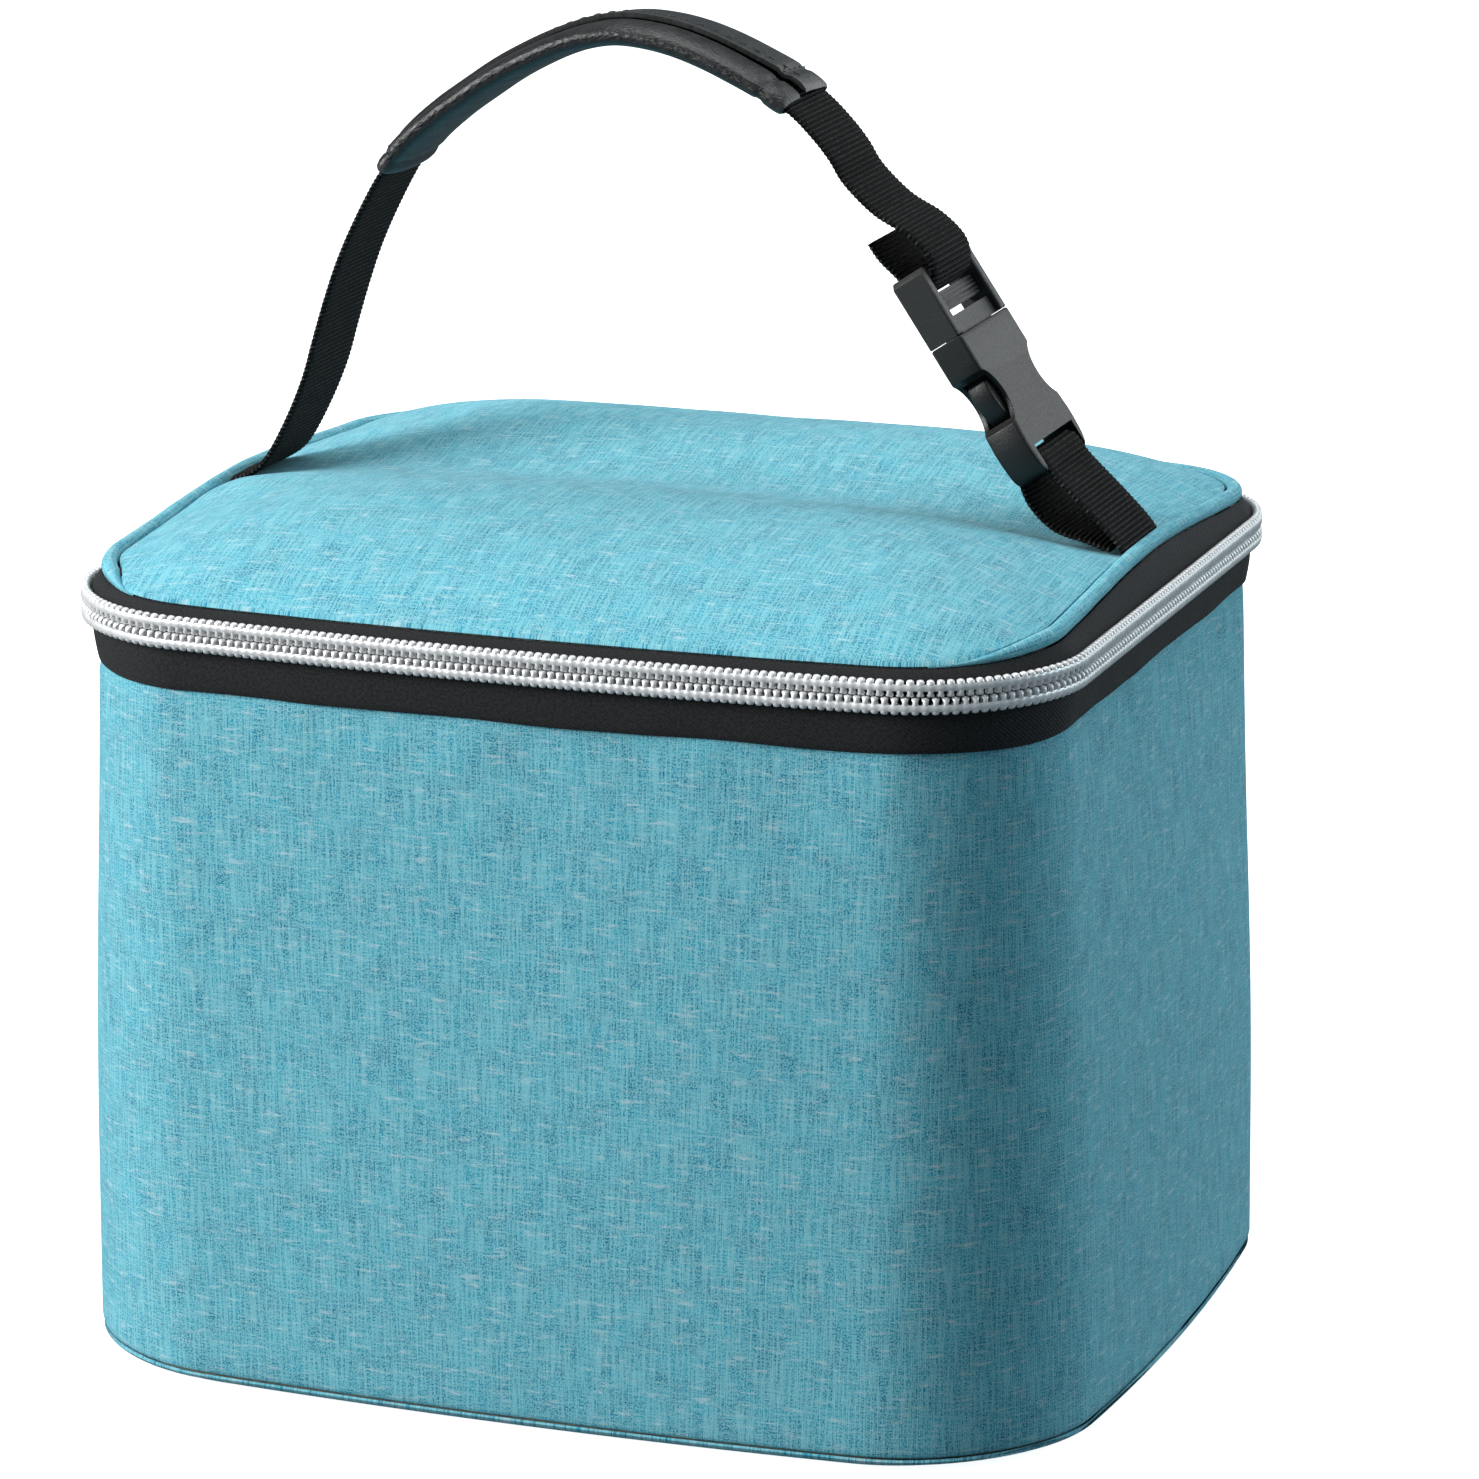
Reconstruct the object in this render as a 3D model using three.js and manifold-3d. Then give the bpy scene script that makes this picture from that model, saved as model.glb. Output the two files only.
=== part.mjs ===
// Soft insulated lunch bag: a padded fabric box with a zipped lid, a webbing handle with a leather
// grip, and a side-release buckle that opens the handle. Millimetres, +Z up, origin at the middle of
// the base. The front faces -Y and the buckle is on the +X side.
import * as THREE from 'three';
import { ParametricGeometry } from 'three/addons/geometries/ParametricGeometry.js';
import { mergeVertices } from 'three/addons/utils/BufferGeometryUtils.js';
import Module from 'manifold-3d';

const wasm = await Module();
wasm.setup();

// ---------------------------------------------------------------- driving dimensions
const GAP = 0.3;                     // clearance between neighbouring pieces
const LAYER_GAP = 0.8;               // clearance between the curved layers of the padding
const ZIP_HEIGHT = 166.7;            // height of the line where the two rows of teeth meet
const BASE_PLAN = { halfWidth: 110, halfDepth: 95.5, corner: 36, frontBow: 5.9, backBow: 3, sideBow: 6.1 };
const MOUTH_PLAN = { halfWidth: 107, halfDepth: 93, corner: 29.4, frontBow: 6.2, backBow: 0, sideBow: 0 };
const CORNER_STEPS = 5;              // facets round each corner of the plan
const SIDE_STEPS = 5;                // facets along each side of the plan

const FABRIC = 1.0;                  // thickness of the outer fabric
const FOAM = 5.0;                    // thickness of the insulating foam
const LINER = 0.6;                   // thickness of the foil liner
const BOARD = 2.0;                   // thickness of the stiffener in the base
const WALL_TOP = 155.4;              // top of the padded wall, where the zip tape is sewn on
const BINDING_HEIGHT = 2.3;          // bound edge round the mouth

const TAPE = 0.8;                    // thickness of the zip tape
const COIL_HEIGHT = 3.75;            // height of one row of teeth
const COIL_DEPTH = 2.3;              // how far a row of teeth stands out
const COIL_OUT = 4.6;                // outer face of the teeth, beyond the body's outline
const TAPE_GAP = 2.3;                // half the gap between the two tapes' edges, behind the teeth
const ZIP_OPENING = 1.9;             // how far each row parts beyond the slider
const SLIDER_Y = 40;                 // where the slider is parked, on the left side near the back

const LID_EDGE = 171.2;              // height of the lid's seam at the front
const SIDE_LIFT = 5;                 // how much the handle's anchors lift the seam at the sides
const LIFT_REACH = 55;               // how far along the side that lift reaches
const LID_CROWN = 190.2;             // height of the padded top
const LID_FULLNESS = 3.3;            // how flat the top stays before it turns down to the seam
const VALLEY_DEPTH = 7.2;            // dip across the top, between the two anchors
const VALLEY_REACH = 24;
const PIPING_RADIUS = 1.7;

const WEBBING_WIDTH = 25;
const WEBBING = 1.3;                 // thickness of the webbing
const GRIP_HALF_WIDTH = 14.4;
const GRIP_HALF_HEIGHT = 3;

const BUCKLE_TOP = new THREE.Vector2(55.5, 235.5);   // X and Z of the buckle's upper end
const BUCKLE_TILT = THREE.MathUtils.degToRad(56);    // how steeply the buckle points down to the right
const BUCKLE_LENGTH = 51;
const BUCKLE_HALF_WIDTH = 16.5;
const BUCKLE_HALF_THICKNESS = 4;
const MOUTH_AT = 16.4;               // where the socket starts, along the buckle

// ---------------------------------------------------------------- materials
function finish(color, roughness, metalness = 0) {
  return new THREE.MeshStandardMaterial({ color, roughness, metalness });
}

const MATERIALS = {
  shell: finish(0x4fb0c9, 0.9),
  tape: finish(0x16181a, 0.85),
  teeth: finish(0xd6d6da, 0.35, 0.7),
  webbing: finish(0x0d0e10, 0.9),
  leather: finish(0x1a1a1d, 0.5),
  plastic: finish(0x1c1c1e, 0.5),
  foil: finish(0xc8cccf, 0.3, 0.8),
  foam: finish(0xf1f1ee, 0.95),
  board: finish(0xb9a98a, 0.9),
  metal: finish(0xbfc1c6, 0.3, 1),
};

// ---------------------------------------------------------------- closed meshes
function signedVolume(geometry) {
  const position = geometry.attributes.position;
  const corners = [new THREE.Vector3(), new THREE.Vector3(), new THREE.Vector3()];
  let sum = 0;
  for (let i = 0; i < geometry.index.count; i += 3) {
    corners.forEach((corner, k) => corner.fromBufferAttribute(position, geometry.index.getX(i + k)));
    sum += corners[0].dot(corners[1].clone().cross(corners[2])) / 6;
  }
  return sum;
}

// Shares the vertices of a closed surface, drops flattened triangles and turns its faces outward.
function weld(geometry) {
  geometry.deleteAttribute('normal');
  geometry.deleteAttribute('uv');
  const merged = mergeVertices(geometry, 1e-3);
  const kept = [];
  for (let i = 0; i < merged.index.count; i += 3) {
    const [a, b, c] = [0, 1, 2].map((k) => merged.index.getX(i + k));
    if (a !== b && b !== c && c !== a) {
      kept.push(a, b, c);
    }
  }
  merged.setIndex(kept);
  if (signedVolume(merged) < 0) {
    merged.setIndex(kept.reverse());
  }
  return merged;
}

// A closed surface through a grid of points; rows and columns that return to their start close it.
function gridSolid(columns, rows, pointAt) {
  const place = (u, v, target) => target.copy(pointAt(Math.round(u * columns), Math.round(v * rows)));
  return weld(new ParametricGeometry(place, columns, rows));
}

function toSolid(geometry) {
  const mesh = weld(geometry);
  const vertProperties = new Float32Array(mesh.attributes.position.array);
  const triVerts = new Uint32Array(mesh.index.array);
  return new wasm.Manifold(new wasm.Mesh({ numProp: 3, vertProperties, triVerts }));
}

function fromSolid(solid) {
  const mesh = solid.getMesh();
  const geometry = new THREE.BufferGeometry();
  const positions = new Float32Array((mesh.vertProperties.length / mesh.numProp) * 3);
  for (let i = 0; i < positions.length / 3; i++) {
    for (let k = 0; k < 3; k++) {
      positions[3 * i + k] = mesh.vertProperties[mesh.numProp * i + k];
    }
  }
  geometry.setAttribute('position', new THREE.BufferAttribute(positions, 3));
  geometry.setIndex(new THREE.BufferAttribute(new Uint32Array(mesh.triVerts), 1));
  return geometry;
}

// A box given by its lowest and highest corners.
function blockBetween(low, high) {
  const box = new THREE.BoxGeometry(high[0] - low[0], high[1] - low[1], high[2] - low[2]);
  box.translate((low[0] + high[0]) / 2, (low[1] + high[1]) / 2, (low[2] + high[2]) / 2);
  return box;
}

function blockSolid(low, high) {
  return toSolid(blockBetween(low, high));
}

// ---------------------------------------------------------------- outline of the bag
const CORNERS = [
  { x: -1, y: 1, from: 90 },
  { x: -1, y: -1, from: 180 },
  { x: 1, y: -1, from: 270 },
  { x: 1, y: 1, from: 0 },
];

// Stations run from the back left corner along the left side, the front, the right side and the back.
function makeStations() {
  const list = [];
  CORNERS.forEach((corner, k) => {
    for (let i = 0; i <= CORNER_STEPS; i++) {
      list.push({ corner, angle: corner.from + (90 * i) / CORNER_STEPS });
    }
    for (let i = 1; i < SIDE_STEPS; i++) {
      list.push({ corner, next: CORNERS[(k + 1) % CORNERS.length], along: i / SIDE_STEPS });
    }
  });
  return list;
}

const STATIONS = makeStations();
const ZIP_STATIONS = STATIONS.slice(0, STATIONS.length - (SIDE_STEPS - 1));

function planAt(height) {
  const share = Math.min(Math.max(height / ZIP_HEIGHT, 0), 1);
  const plan = {};
  for (const key of Object.keys(BASE_PLAN)) {
    plan[key] = THREE.MathUtils.lerp(BASE_PLAN[key], MOUTH_PLAN[key], share);
  }
  return plan;
}

// A point of the outline at a height, moved inward by inset (outward where it is negative).
function outlinePoint(station, height, inset = 0) {
  const plan = planAt(height);
  const halfWidth = plan.halfWidth - inset;
  const halfDepth = plan.halfDepth - inset;
  const radius = Math.max(plan.corner - inset, 3);
  const onArc = (corner, degrees) => new THREE.Vector2(
    corner.x * (halfWidth - radius) + radius * Math.cos(THREE.MathUtils.degToRad(degrees)),
    corner.y * (halfDepth - radius) + radius * Math.sin(THREE.MathUtils.degToRad(degrees)),
  );
  const { corner, next, angle, along } = station;
  const point = next
    ? onArc(corner, corner.from + 90).lerp(onArc(next, next.from), along)
    : onArc(corner, angle);
  const across = point.x / halfWidth;
  const deep = point.y / halfDepth;
  const bow = point.y < 0 ? plan.frontBow : plan.backBow;
  point.x += plan.sideBow * (1 - deep * deep) * across;
  point.y += bow * (1 - across * across) * deep;
  return point;
}

function onBody(station, inset, height) {
  const point = outlinePoint(station, height, inset);
  return new THREE.Vector3(point.x, point.y, height);
}

// ---------------------------------------------------------------- bodies that follow the outline
// A flat plate between two heights.
function plate(bottom, top, inset) {
  const rows = [[0, bottom], [1, bottom], [1, top], [0, top]];
  return gridSolid(STATIONS.length, rows.length - 1, (i, j) => {
    const [share, height] = rows[j];
    const point = onBody(STATIONS[i % STATIONS.length], inset, height);
    return new THREE.Vector3(point.x * share, point.y * share, height);
  });
}

// A wall of even thickness that runs all the way round.
function wallRing(bottom, top, inset, thickness, levels = 2) {
  const rows = [];
  for (let i = 0; i <= levels; i++) {
    rows.push([inset, THREE.MathUtils.lerp(bottom, top, i / levels)]);
  }
  for (let i = levels; i >= 0; i--) {
    rows.push([inset + thickness, THREE.MathUtils.lerp(bottom, top, i / levels)]);
  }
  return gridSolid(STATIONS.length, rows.length, (i, j) => {
    const [inward, height] = rows[j % rows.length];
    return onBody(STATIONS[i % STATIONS.length], inward, height);
  });
}

// A strip with a four-sided section along some stations, closed at both ends.
function strip(stations, sectionAt) {
  return gridSolid(stations.length + 1, 4, (i, j) => {
    const index = Math.min(Math.max(i - 1, 0), stations.length - 1);
    const section = sectionAt(stations[index]);
    if (i === 0 || i === stations.length + 1) {
      const middle = new THREE.Vector3();
      section.forEach(([inset, height]) => middle.add(onBody(stations[index], inset, height)));
      return middle.divideScalar(section.length);
    }
    const [inset, height] = section[j % 4];
    return onBody(stations[index], inset, height);
  });
}

// ---------------------------------------------------------------- zip
function smoothShare(value, from, to) {
  return THREE.MathUtils.smoothstep(value, from, to);
}

// The rows are joined up to the slider and part beyond it, towards the back left corner.
function partingAt(station) {
  const point = outlinePoint(station, ZIP_HEIGHT);
  return point.x < 0 ? ZIP_OPENING * smoothShare(point.y, SLIDER_Y - 6, SLIDER_Y + 2) : 0;
}

// Extra stations near the slider, so that the rows part where they should.
function zipStations() {
  const leftStart = CORNER_STEPS + 1;
  const [corner, next] = CORNERS;
  const straight = 2 * (MOUTH_PLAN.halfDepth - MOUTH_PLAN.corner);
  const alongAt = (y) => (MOUTH_PLAN.halfDepth - MOUTH_PLAN.corner - y) / straight;
  const extra = [SLIDER_Y + 2, SLIDER_Y - 6].map((y) => ({ corner, next, along: alongAt(y) }));
  const list = [...ZIP_STATIONS];
  list.splice(leftStart, 1, ...extra);
  return list;
}

function tapeSection(isUpper) {
  return (station) => {
    const part = partingAt(station);
    const near = ZIP_HEIGHT + (isUpper ? TAPE_GAP + part : -TAPE_GAP - part);
    const far = isUpper ? seamHeight(station) - GAP : WALL_TOP + GAP;
    const behindTeeth = COIL_OUT - COIL_DEPTH - GAP;
    const atSeam = TAPE + 0.1;
    return [[-behindTeeth, near], [-atSeam, far], [TAPE - atSeam, far], [TAPE - behindTeeth, near]];
  };
}

function coilSection(isUpper) {
  return (station) => {
    const part = partingAt(station);
    const near = ZIP_HEIGHT + (isUpper ? GAP / 2 + part : -GAP / 2 - part);
    const far = near + (isUpper ? COIL_HEIGHT : -COIL_HEIGHT);
    const inner = COIL_OUT - COIL_DEPTH;
    return [[-COIL_OUT, near], [-COIL_OUT + 0.5, far], [-inner, far], [-inner, near]];
  };
}

// The slider: two plates joined by a wedge between the rows, side flanges, and a bridge for the tab.
const SLIDER = { halfLength: 6.5, halfHeight: 6.9, backHalf: 4.6, plate: 1.2, flange: 0.9, bridgeRise: 1.9 };

function zipSlider() {
  const { halfLength, halfHeight, backHalf, plate: sheet, flange, bridgeRise } = SLIDER;
  const face = -(MOUTH_PLAN.halfWidth + COIL_OUT + GAP);
  const back = -(MOUTH_PLAN.halfWidth + GAP);
  const y0 = SLIDER_Y - halfLength;
  const y1 = SLIDER_Y + halfLength;
  const z0 = ZIP_HEIGHT - halfHeight;
  const z1 = ZIP_HEIGHT + halfHeight;
  const flangeEnd = face + COIL_DEPTH;
  const bridge = face - sheet - bridgeRise;
  const [low, high] = [ZIP_HEIGHT - 1, ZIP_HEIGHT + 1];
  const pieces = [
    blockSolid([face - sheet, y0, z0], [face, y1, z1]),
    blockSolid([back, y0, ZIP_HEIGHT - backHalf], [back + sheet, y1, ZIP_HEIGHT + backHalf]),
    blockSolid([face - 0.2, y0, z0], [flangeEnd, y1, z0 + flange]),
    blockSolid([face - 0.2, y0, z1 - flange], [flangeEnd, y1, z1]),
    blockSolid([face - 0.2, y1 - 3.6, ZIP_HEIGHT - 1.5], [back + 0.2, y1 - 0.4, ZIP_HEIGHT + 1.5]),
    blockSolid([bridge - 1, y0 + 1.5, low], [bridge, y1 - 1.5, high]),
    blockSolid([bridge - 0.2, y0 + 1.5, low], [face - 0.4, y0 + 2.7, high]),
    blockSolid([bridge - 0.2, y1 - 2.7, low], [face - 0.4, y1 - 1.5, high]),
  ];
  return fromSolid(pieces.reduce((joined, piece) => joined.add(piece)));
}

// The pull tab: a pin under the bridge, two side bars round it, and a flat tongue.
function pullTab() {
  const middle = -(MOUTH_PLAN.halfWidth + COIL_OUT + GAP + SLIDER.plate + SLIDER.bridgeRise / 2);
  const half = 0.6;
  const eyeEnd = SLIDER_Y - 7.5;
  const block = (y0, y1, z0, z1) =>
    blockSolid([middle - half, y0, ZIP_HEIGHT + z0], [middle + half, y1, ZIP_HEIGHT + z1]);
  const tongue = block(SLIDER_Y - 27, eyeEnd, -2.9, 2.9);
  const eye = blockSolid(
    [middle - 2, SLIDER_Y - 24.5, ZIP_HEIGHT - 1.2],
    [middle + 2, SLIDER_Y - 20.5, ZIP_HEIGHT + 1.2],
  );
  const pieces = [
    block(SLIDER_Y - half, SLIDER_Y + half, -2.9, 2.9),
    block(eyeEnd - 0.2, SLIDER_Y + half, -2.9, -1.7),
    block(eyeEnd - 0.2, SLIDER_Y + half, 1.7, 2.9),
  ];
  const joined = pieces.reduce((sum, piece) => sum.add(piece), tongue);
  return fromSolid(joined.subtract(eye));
}

// ---------------------------------------------------------------- lid
function seamHeight(station) {
  const point = outlinePoint(station, ZIP_HEIGHT);
  const beside = smoothShare(Math.abs(point.x) / MOUTH_PLAN.halfWidth, 0.6, 0.98);
  return LID_EDGE + SIDE_LIFT * beside * Math.exp(-((point.y / LIFT_REACH) ** 2));
}

// 1 where the seam is piped (the sides and the back), 0 along the front.
function pipedShare(station) {
  const point = outlinePoint(station, ZIP_HEIGHT);
  return smoothShare(point.y, -MOUTH_PLAN.halfDepth, -MOUTH_PLAN.halfDepth + 6);
}

// Height of the lid's outer surface over a point on the way from the middle to a station.
function lidTop(station, point) {
  const share = point.length() / outlinePoint(station, ZIP_HEIGHT).length();
  const dip = VALLEY_DEPTH * Math.exp(-((point.y / VALLEY_REACH) ** 2)) * (1 - share ** 4);
  return THREE.MathUtils.lerp(LID_CROWN, seamHeight(station) + FABRIC, share ** LID_FULLNESS) - dip;
}

// A domed layer of the lid: below is how far its top lies under the outer fabric's top.
function lidLayer(below, thickness, edgeInset) {
  const rings = [0, 0.25, 0.44, 0.6, 0.73, 0.83, 0.91, 0.96, 1];
  const rows = [
    ...rings.map((share) => [share, -below]),
    ...[...rings].reverse().map((share) => [share, -below - thickness]),
  ];
  return gridSolid(STATIONS.length, rows.length - 1, (i, j) => {
    const station = STATIONS[i % STATIONS.length];
    const [share, drop] = rows[j];
    const point = outlinePoint(station, ZIP_HEIGHT, edgeInset(station)).multiplyScalar(share);
    return new THREE.Vector3(point.x, point.y, lidTop(station, point) + drop);
  });
}

const panelInset = (station) => THREE.MathUtils.lerp(0.6, 2 * PIPING_RADIUS + 0.6, pipedShare(station));
const paddingInset = () => FOAM + 1;

// The piping: a fabric-covered cord round the sides and the back of the lid.
function lidPiping() {
  const halfCorner = Math.floor(CORNER_STEPS / 2);
  const start = CORNER_STEPS + SIDE_STEPS + halfCorner;
  const frontStations = SIDE_STEPS + 2 * (CORNER_STEPS - halfCorner);
  const count = STATIONS.length - frontStations + 1;
  const around = STATIONS.map((_, k) => STATIONS[(start - k + STATIONS.length) % STATIONS.length]);
  const path = around.slice(0, count).map((station) => {
    const point = outlinePoint(station, ZIP_HEIGHT, PIPING_RADIUS + 0.1);
    return new THREE.Vector3(point.x, point.y, seamHeight(station) + PIPING_RADIUS + 0.1);
  });
  const section = new THREE.Shape(new THREE.EllipseCurve(0, 0, PIPING_RADIUS, PIPING_RADIUS).getPoints(8));
  const extrudePath = new THREE.CatmullRomCurve3(path, false, 'centripetal');
  return weld(new THREE.ExtrudeGeometry(section, { steps: 48, extrudePath }));
}

function lidBinding() {
  return wallRing(ZIP_HEIGHT + 0.8, ZIP_HEIGHT + 2.8, 1.6, 3.2, 1);
}

// The hinge: a strip of the outer fabric between the ends of the zip, across the back.
function rearHinge() {
  const [corner, next] = [CORNERS[3], CORNERS[0]];
  const shares = [0.006, 0.2, 0.4, 0.6, 0.8, 0.994];
  const stations = shares.map((along) => ({ corner, next, along }));
  const [bottom, top] = [WALL_TOP + GAP, LID_EDGE - GAP];
  const [outer, inner] = [-0.4 - 1.2 * FABRIC, -0.4];
  return strip(stations, () => [[outer, bottom], [outer, top], [inner, top], [inner, bottom]]);
}

// ---------------------------------------------------------------- webbing
// X and Z of a point given along the buckle and out from it, on the side that faces up.
function besideBuckle(along, out) {
  const direction = new THREE.Vector2(Math.cos(BUCKLE_TILT), -Math.sin(BUCKLE_TILT));
  const outward = new THREE.Vector2(Math.sin(BUCKLE_TILT), Math.cos(BUCKLE_TILT));
  return BUCKLE_TOP.clone().addScaledVector(direction, along).addScaledVector(outward, out);
}

// A flat strip of webbing through points given as X and Z.
function webbingAlong(points, samples) {
  const curve = new THREE.SplineCurve(points);
  const line = curve.getSpacedPoints(samples);
  const sides = line.map((point, i) => {
    const before = line[Math.max(i - 1, 0)];
    const after = line[Math.min(i + 1, line.length - 1)];
    const along = after.clone().sub(before).normalize();
    const across = new THREE.Vector2(-along.y, along.x).multiplyScalar(WEBBING / 2);
    return [point.clone().add(across), point.clone().sub(across)];
  });
  const outline = [...sides.map((side) => side[0]), ...sides.map((side) => side[1]).reverse()];
  const extrusion = { depth: WEBBING_WIDTH, bevelEnabled: false };
  const strap = new THREE.ExtrudeGeometry(new THREE.Shape(outline), extrusion);
  strap.rotateX(Math.PI / 2);
  strap.translate(0, WEBBING_WIDTH / 2, 0);
  return weld(strap);
}

// The handle's left side, from its anchor on the lid up into the grip.
const HANDLE_LEFT = [
  [-99, 180.2], [-94.3, 183.8], [-89.2, 192.6], [-84.9, 202.4], [-82.1, 211.6],
  [-79.2, 220.8], [-75.9, 229.9], [-71.6, 239.1], [-66.5, 248.3], [-61.2, 255.4],
].map(([x, z]) => new THREE.Vector2(x, z));

// From inside the grip over its top and down to the buckle.
const HANDLE_TOP = [
  [-60, 256.7], [-54.1, 261.8], [-47, 267], [-40, 271.8], [-33, 275.7], [-26, 279],
  [-19.1, 281.4], [-12.2, 282.6], [-5.4, 282.3], [1.5, 281], [8.3, 278.8], [15.1, 275.9],
  [21.9, 272.6], [28.7, 268.3], [34, 263.3], [37.7, 258.9], [41, 254],
].map(([x, z]) => new THREE.Vector2(x, z));

function handleWebbing() {
  const intoBuckle = [
    besideBuckle(-15, 0.4), besideBuckle(-8, 4), besideBuckle(-2, 5.6), besideBuckle(2, 4.9),
    besideBuckle(4.6, 2.6), besideBuckle(5.1, 0), besideBuckle(4.2, -1.5), besideBuckle(2, -2.4),
    besideBuckle(-2, -3.4), besideBuckle(-6, -4.4), besideBuckle(-10, -4.6),
  ];
  return webbingAlong([...HANDLE_TOP, ...intoBuckle], 80);
}

function loopWebbing() {
  return webbingAlong([
    new THREE.Vector2(101.6, 180.8), new THREE.Vector2(96, 186.2),
    besideBuckle(53, 3.6), besideBuckle(49.5, 3.3), besideBuckle(47.2, 2.8), besideBuckle(46.1, 1.4),
    besideBuckle(46.1, -1.4), besideBuckle(47.2, -2.8), besideBuckle(49.5, -3.4),
    new THREE.Vector2(82.8, 187.4), new THREE.Vector2(88, 182.8), new THREE.Vector2(95.2, 180.7),
  ], 46);
}

// ---------------------------------------------------------------- grip
// A sleeve of leather round the webbing, open at both ends.
function gripWrap() {
  const path = new THREE.SplineCurve([HANDLE_LEFT.at(-2), HANDLE_LEFT.at(-1), ...HANDLE_TOP.slice(1, 14)]);
  const around = 16;
  const along = 16;
  const sleeve = (i, j) => {
    const isInner = j > along;
    const step = isInner ? 2 * along + 1 - j : j;
    const share = 0.02 + (0.97 * step) / along;
    const centre = path.getPointAt(share);
    const tangent = path.getTangentAt(share);
    const angle = (2 * Math.PI * i) / around;
    const width = isInner ? WEBBING_WIDTH / 2 + 0.5 : GRIP_HALF_WIDTH;
    const height = isInner ? WEBBING / 2 + 0.5 : GRIP_HALF_HEIGHT;
    const power = isInner ? 0.25 : 0.7;
    const side = width * Math.sign(Math.cos(angle)) * Math.abs(Math.cos(angle)) ** power;
    const out = height * Math.sign(Math.sin(angle)) * Math.abs(Math.sin(angle)) ** power;
    return new THREE.Vector3(centre.x - tangent.y * out, side, centre.y + tangent.x * out);
  };
  const rows = 2 * (along + 1);
  return gridSolid(around, rows, (i, j) => sleeve(i % around, j % rows));
}

// ---------------------------------------------------------------- buckle
// Its own frame: X runs down from the upper end, Y across, and Z out of the face that points up.
function mirrored(half) {
  const other = half.map(([x, y]) => [x, -y]).reverse();
  return new THREE.Shape([...half, ...other].map(([x, y]) => new THREE.Vector2(x, y)));
}

function slab(shape, halfThickness, round = 0) {
  const edges = round
    ? { bevelThickness: round, bevelSize: round, bevelOffset: -round, bevelSegments: 2 }
    : { bevelEnabled: false };
  const depth = 2 * (halfThickness - round);
  const solid = new THREE.ExtrudeGeometry(shape, { curveSegments: 10, depth, ...edges });
  solid.translate(0, 0, round ? round - halfThickness : -halfThickness);
  return toSolid(solid);
}

function buckleFemale() {
  const end = BUCKLE_LENGTH;
  const wide = BUCKLE_HALF_WIDTH;
  const waist = new THREE.SplineCurve([
    [23, wide], [25.5, wide - 0.2], [28, wide - 1.2], [31.5, wide - 1.8], [35, wide - 1.6], [39, wide - 0.6],
    [43, wide - 0.2], [47.5, wide - 0.8], [50, wide - 2], [end, wide - 4],
  ].map(([x, y]) => new THREE.Vector2(x, y)));
  const outline = mirrored([[MOUTH_AT, wide], ...waist.getPoints(30).map((point) => point.toArray())]);
  const cavity = blockSolid([MOUTH_AT - 1, -13.8, -2.8], [41, 13.8, 2.8]);
  const slot = blockSolid([44.4, -13.2, -9], [48.2, 13.2, 9]);
  const thinBar = [-1, 1].map((side) => {
    const heights = [side * 2, side * 9].sort((a, b) => a - b);
    return blockSolid([44.4, -13.2, heights[0]], [end + 1, 13.2, heights[1]]);
  });
  const windows = [-1, 1].map((side) => {
    const cutter = new THREE.CylinderGeometry(7, 7, 20, 40);
    cutter.rotateX(Math.PI / 2);
    cutter.translate(31.6, side * 18.4, 0);
    return toSolid(cutter);
  });
  const cuts = [cavity, slot, ...thinBar, ...windows];
  return fromSolid(cuts.reduce((body, cut) => body.subtract(cut), slab(outline, BUCKLE_HALF_THICKNESS, 0.8)));
}

function buckleMale() {
  const wide = BUCKLE_HALF_WIDTH;
  const rails = [-1, 1].map((side) => {
    const shape = new THREE.Shape();
    shape.moveTo(1.2, side * wide);
    shape.lineTo(MOUTH_AT - 0.12, side * wide);
    shape.lineTo(MOUTH_AT - 0.12, side * (wide - 3.2));
    shape.lineTo(0, side * (wide - 3.2));
    shape.lineTo(0, side * (wide - 1.4));
    return slab(shape, 3.9, 0.6);
  });
  const pieces = [
    blockSolid([1, -13.6, -0.7], [3.3, 13.6, 0.7]),
    blockSolid([6.3, -13.6, -1.5], [10.8, 13.6, 1.5]),
    blockSolid([12.2, -13.6, -2.4], [MOUTH_AT - 0.12, 13.6, 2.4]),
    blockSolid([MOUTH_AT - 1, -9.4, -2.4], [20, 9.4, 2.4]),
    blockSolid([19, -2.4, -2], [39, 2.4, 2]),
  ];
  for (let x = 6.5; x < 10.4; x += 0.9) {
    pieces.push(blockSolid([x, -13, 1.3], [x + 0.45, 13, 1.9]));
  }
  return fromSolid([...rails, ...pieces].reduce((joined, piece) => joined.add(piece)));
}

// A springing arm with a rounded head that shows in the side window.
function latchArm(side) {
  const shape = new THREE.Shape();
  shape.moveTo(MOUTH_AT + 0.2, side * 9.8);
  shape.lineTo(MOUTH_AT + 0.2, side * 12.6);
  shape.lineTo(24, side * 12.2);
  shape.quadraticCurveTo(26.6, side * 12.4, 27.4, side * 14);
  shape.quadraticCurveTo(31.6, side * 15.6, 36, side * 13);
  shape.lineTo(38.2, side * 10.6);
  shape.lineTo(37, side * 9.4);
  shape.lineTo(22, side * 10);
  return fromSolid(slab(shape, 2.4, 0.5));
}

// ---------------------------------------------------------------- the scene
const group = new THREE.Group();

function addPiece(name, geometry, material, parent = group) {
  const mesh = new THREE.Mesh(geometry, material);
  mesh.name = name;
  parent.add(mesh);
}

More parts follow.
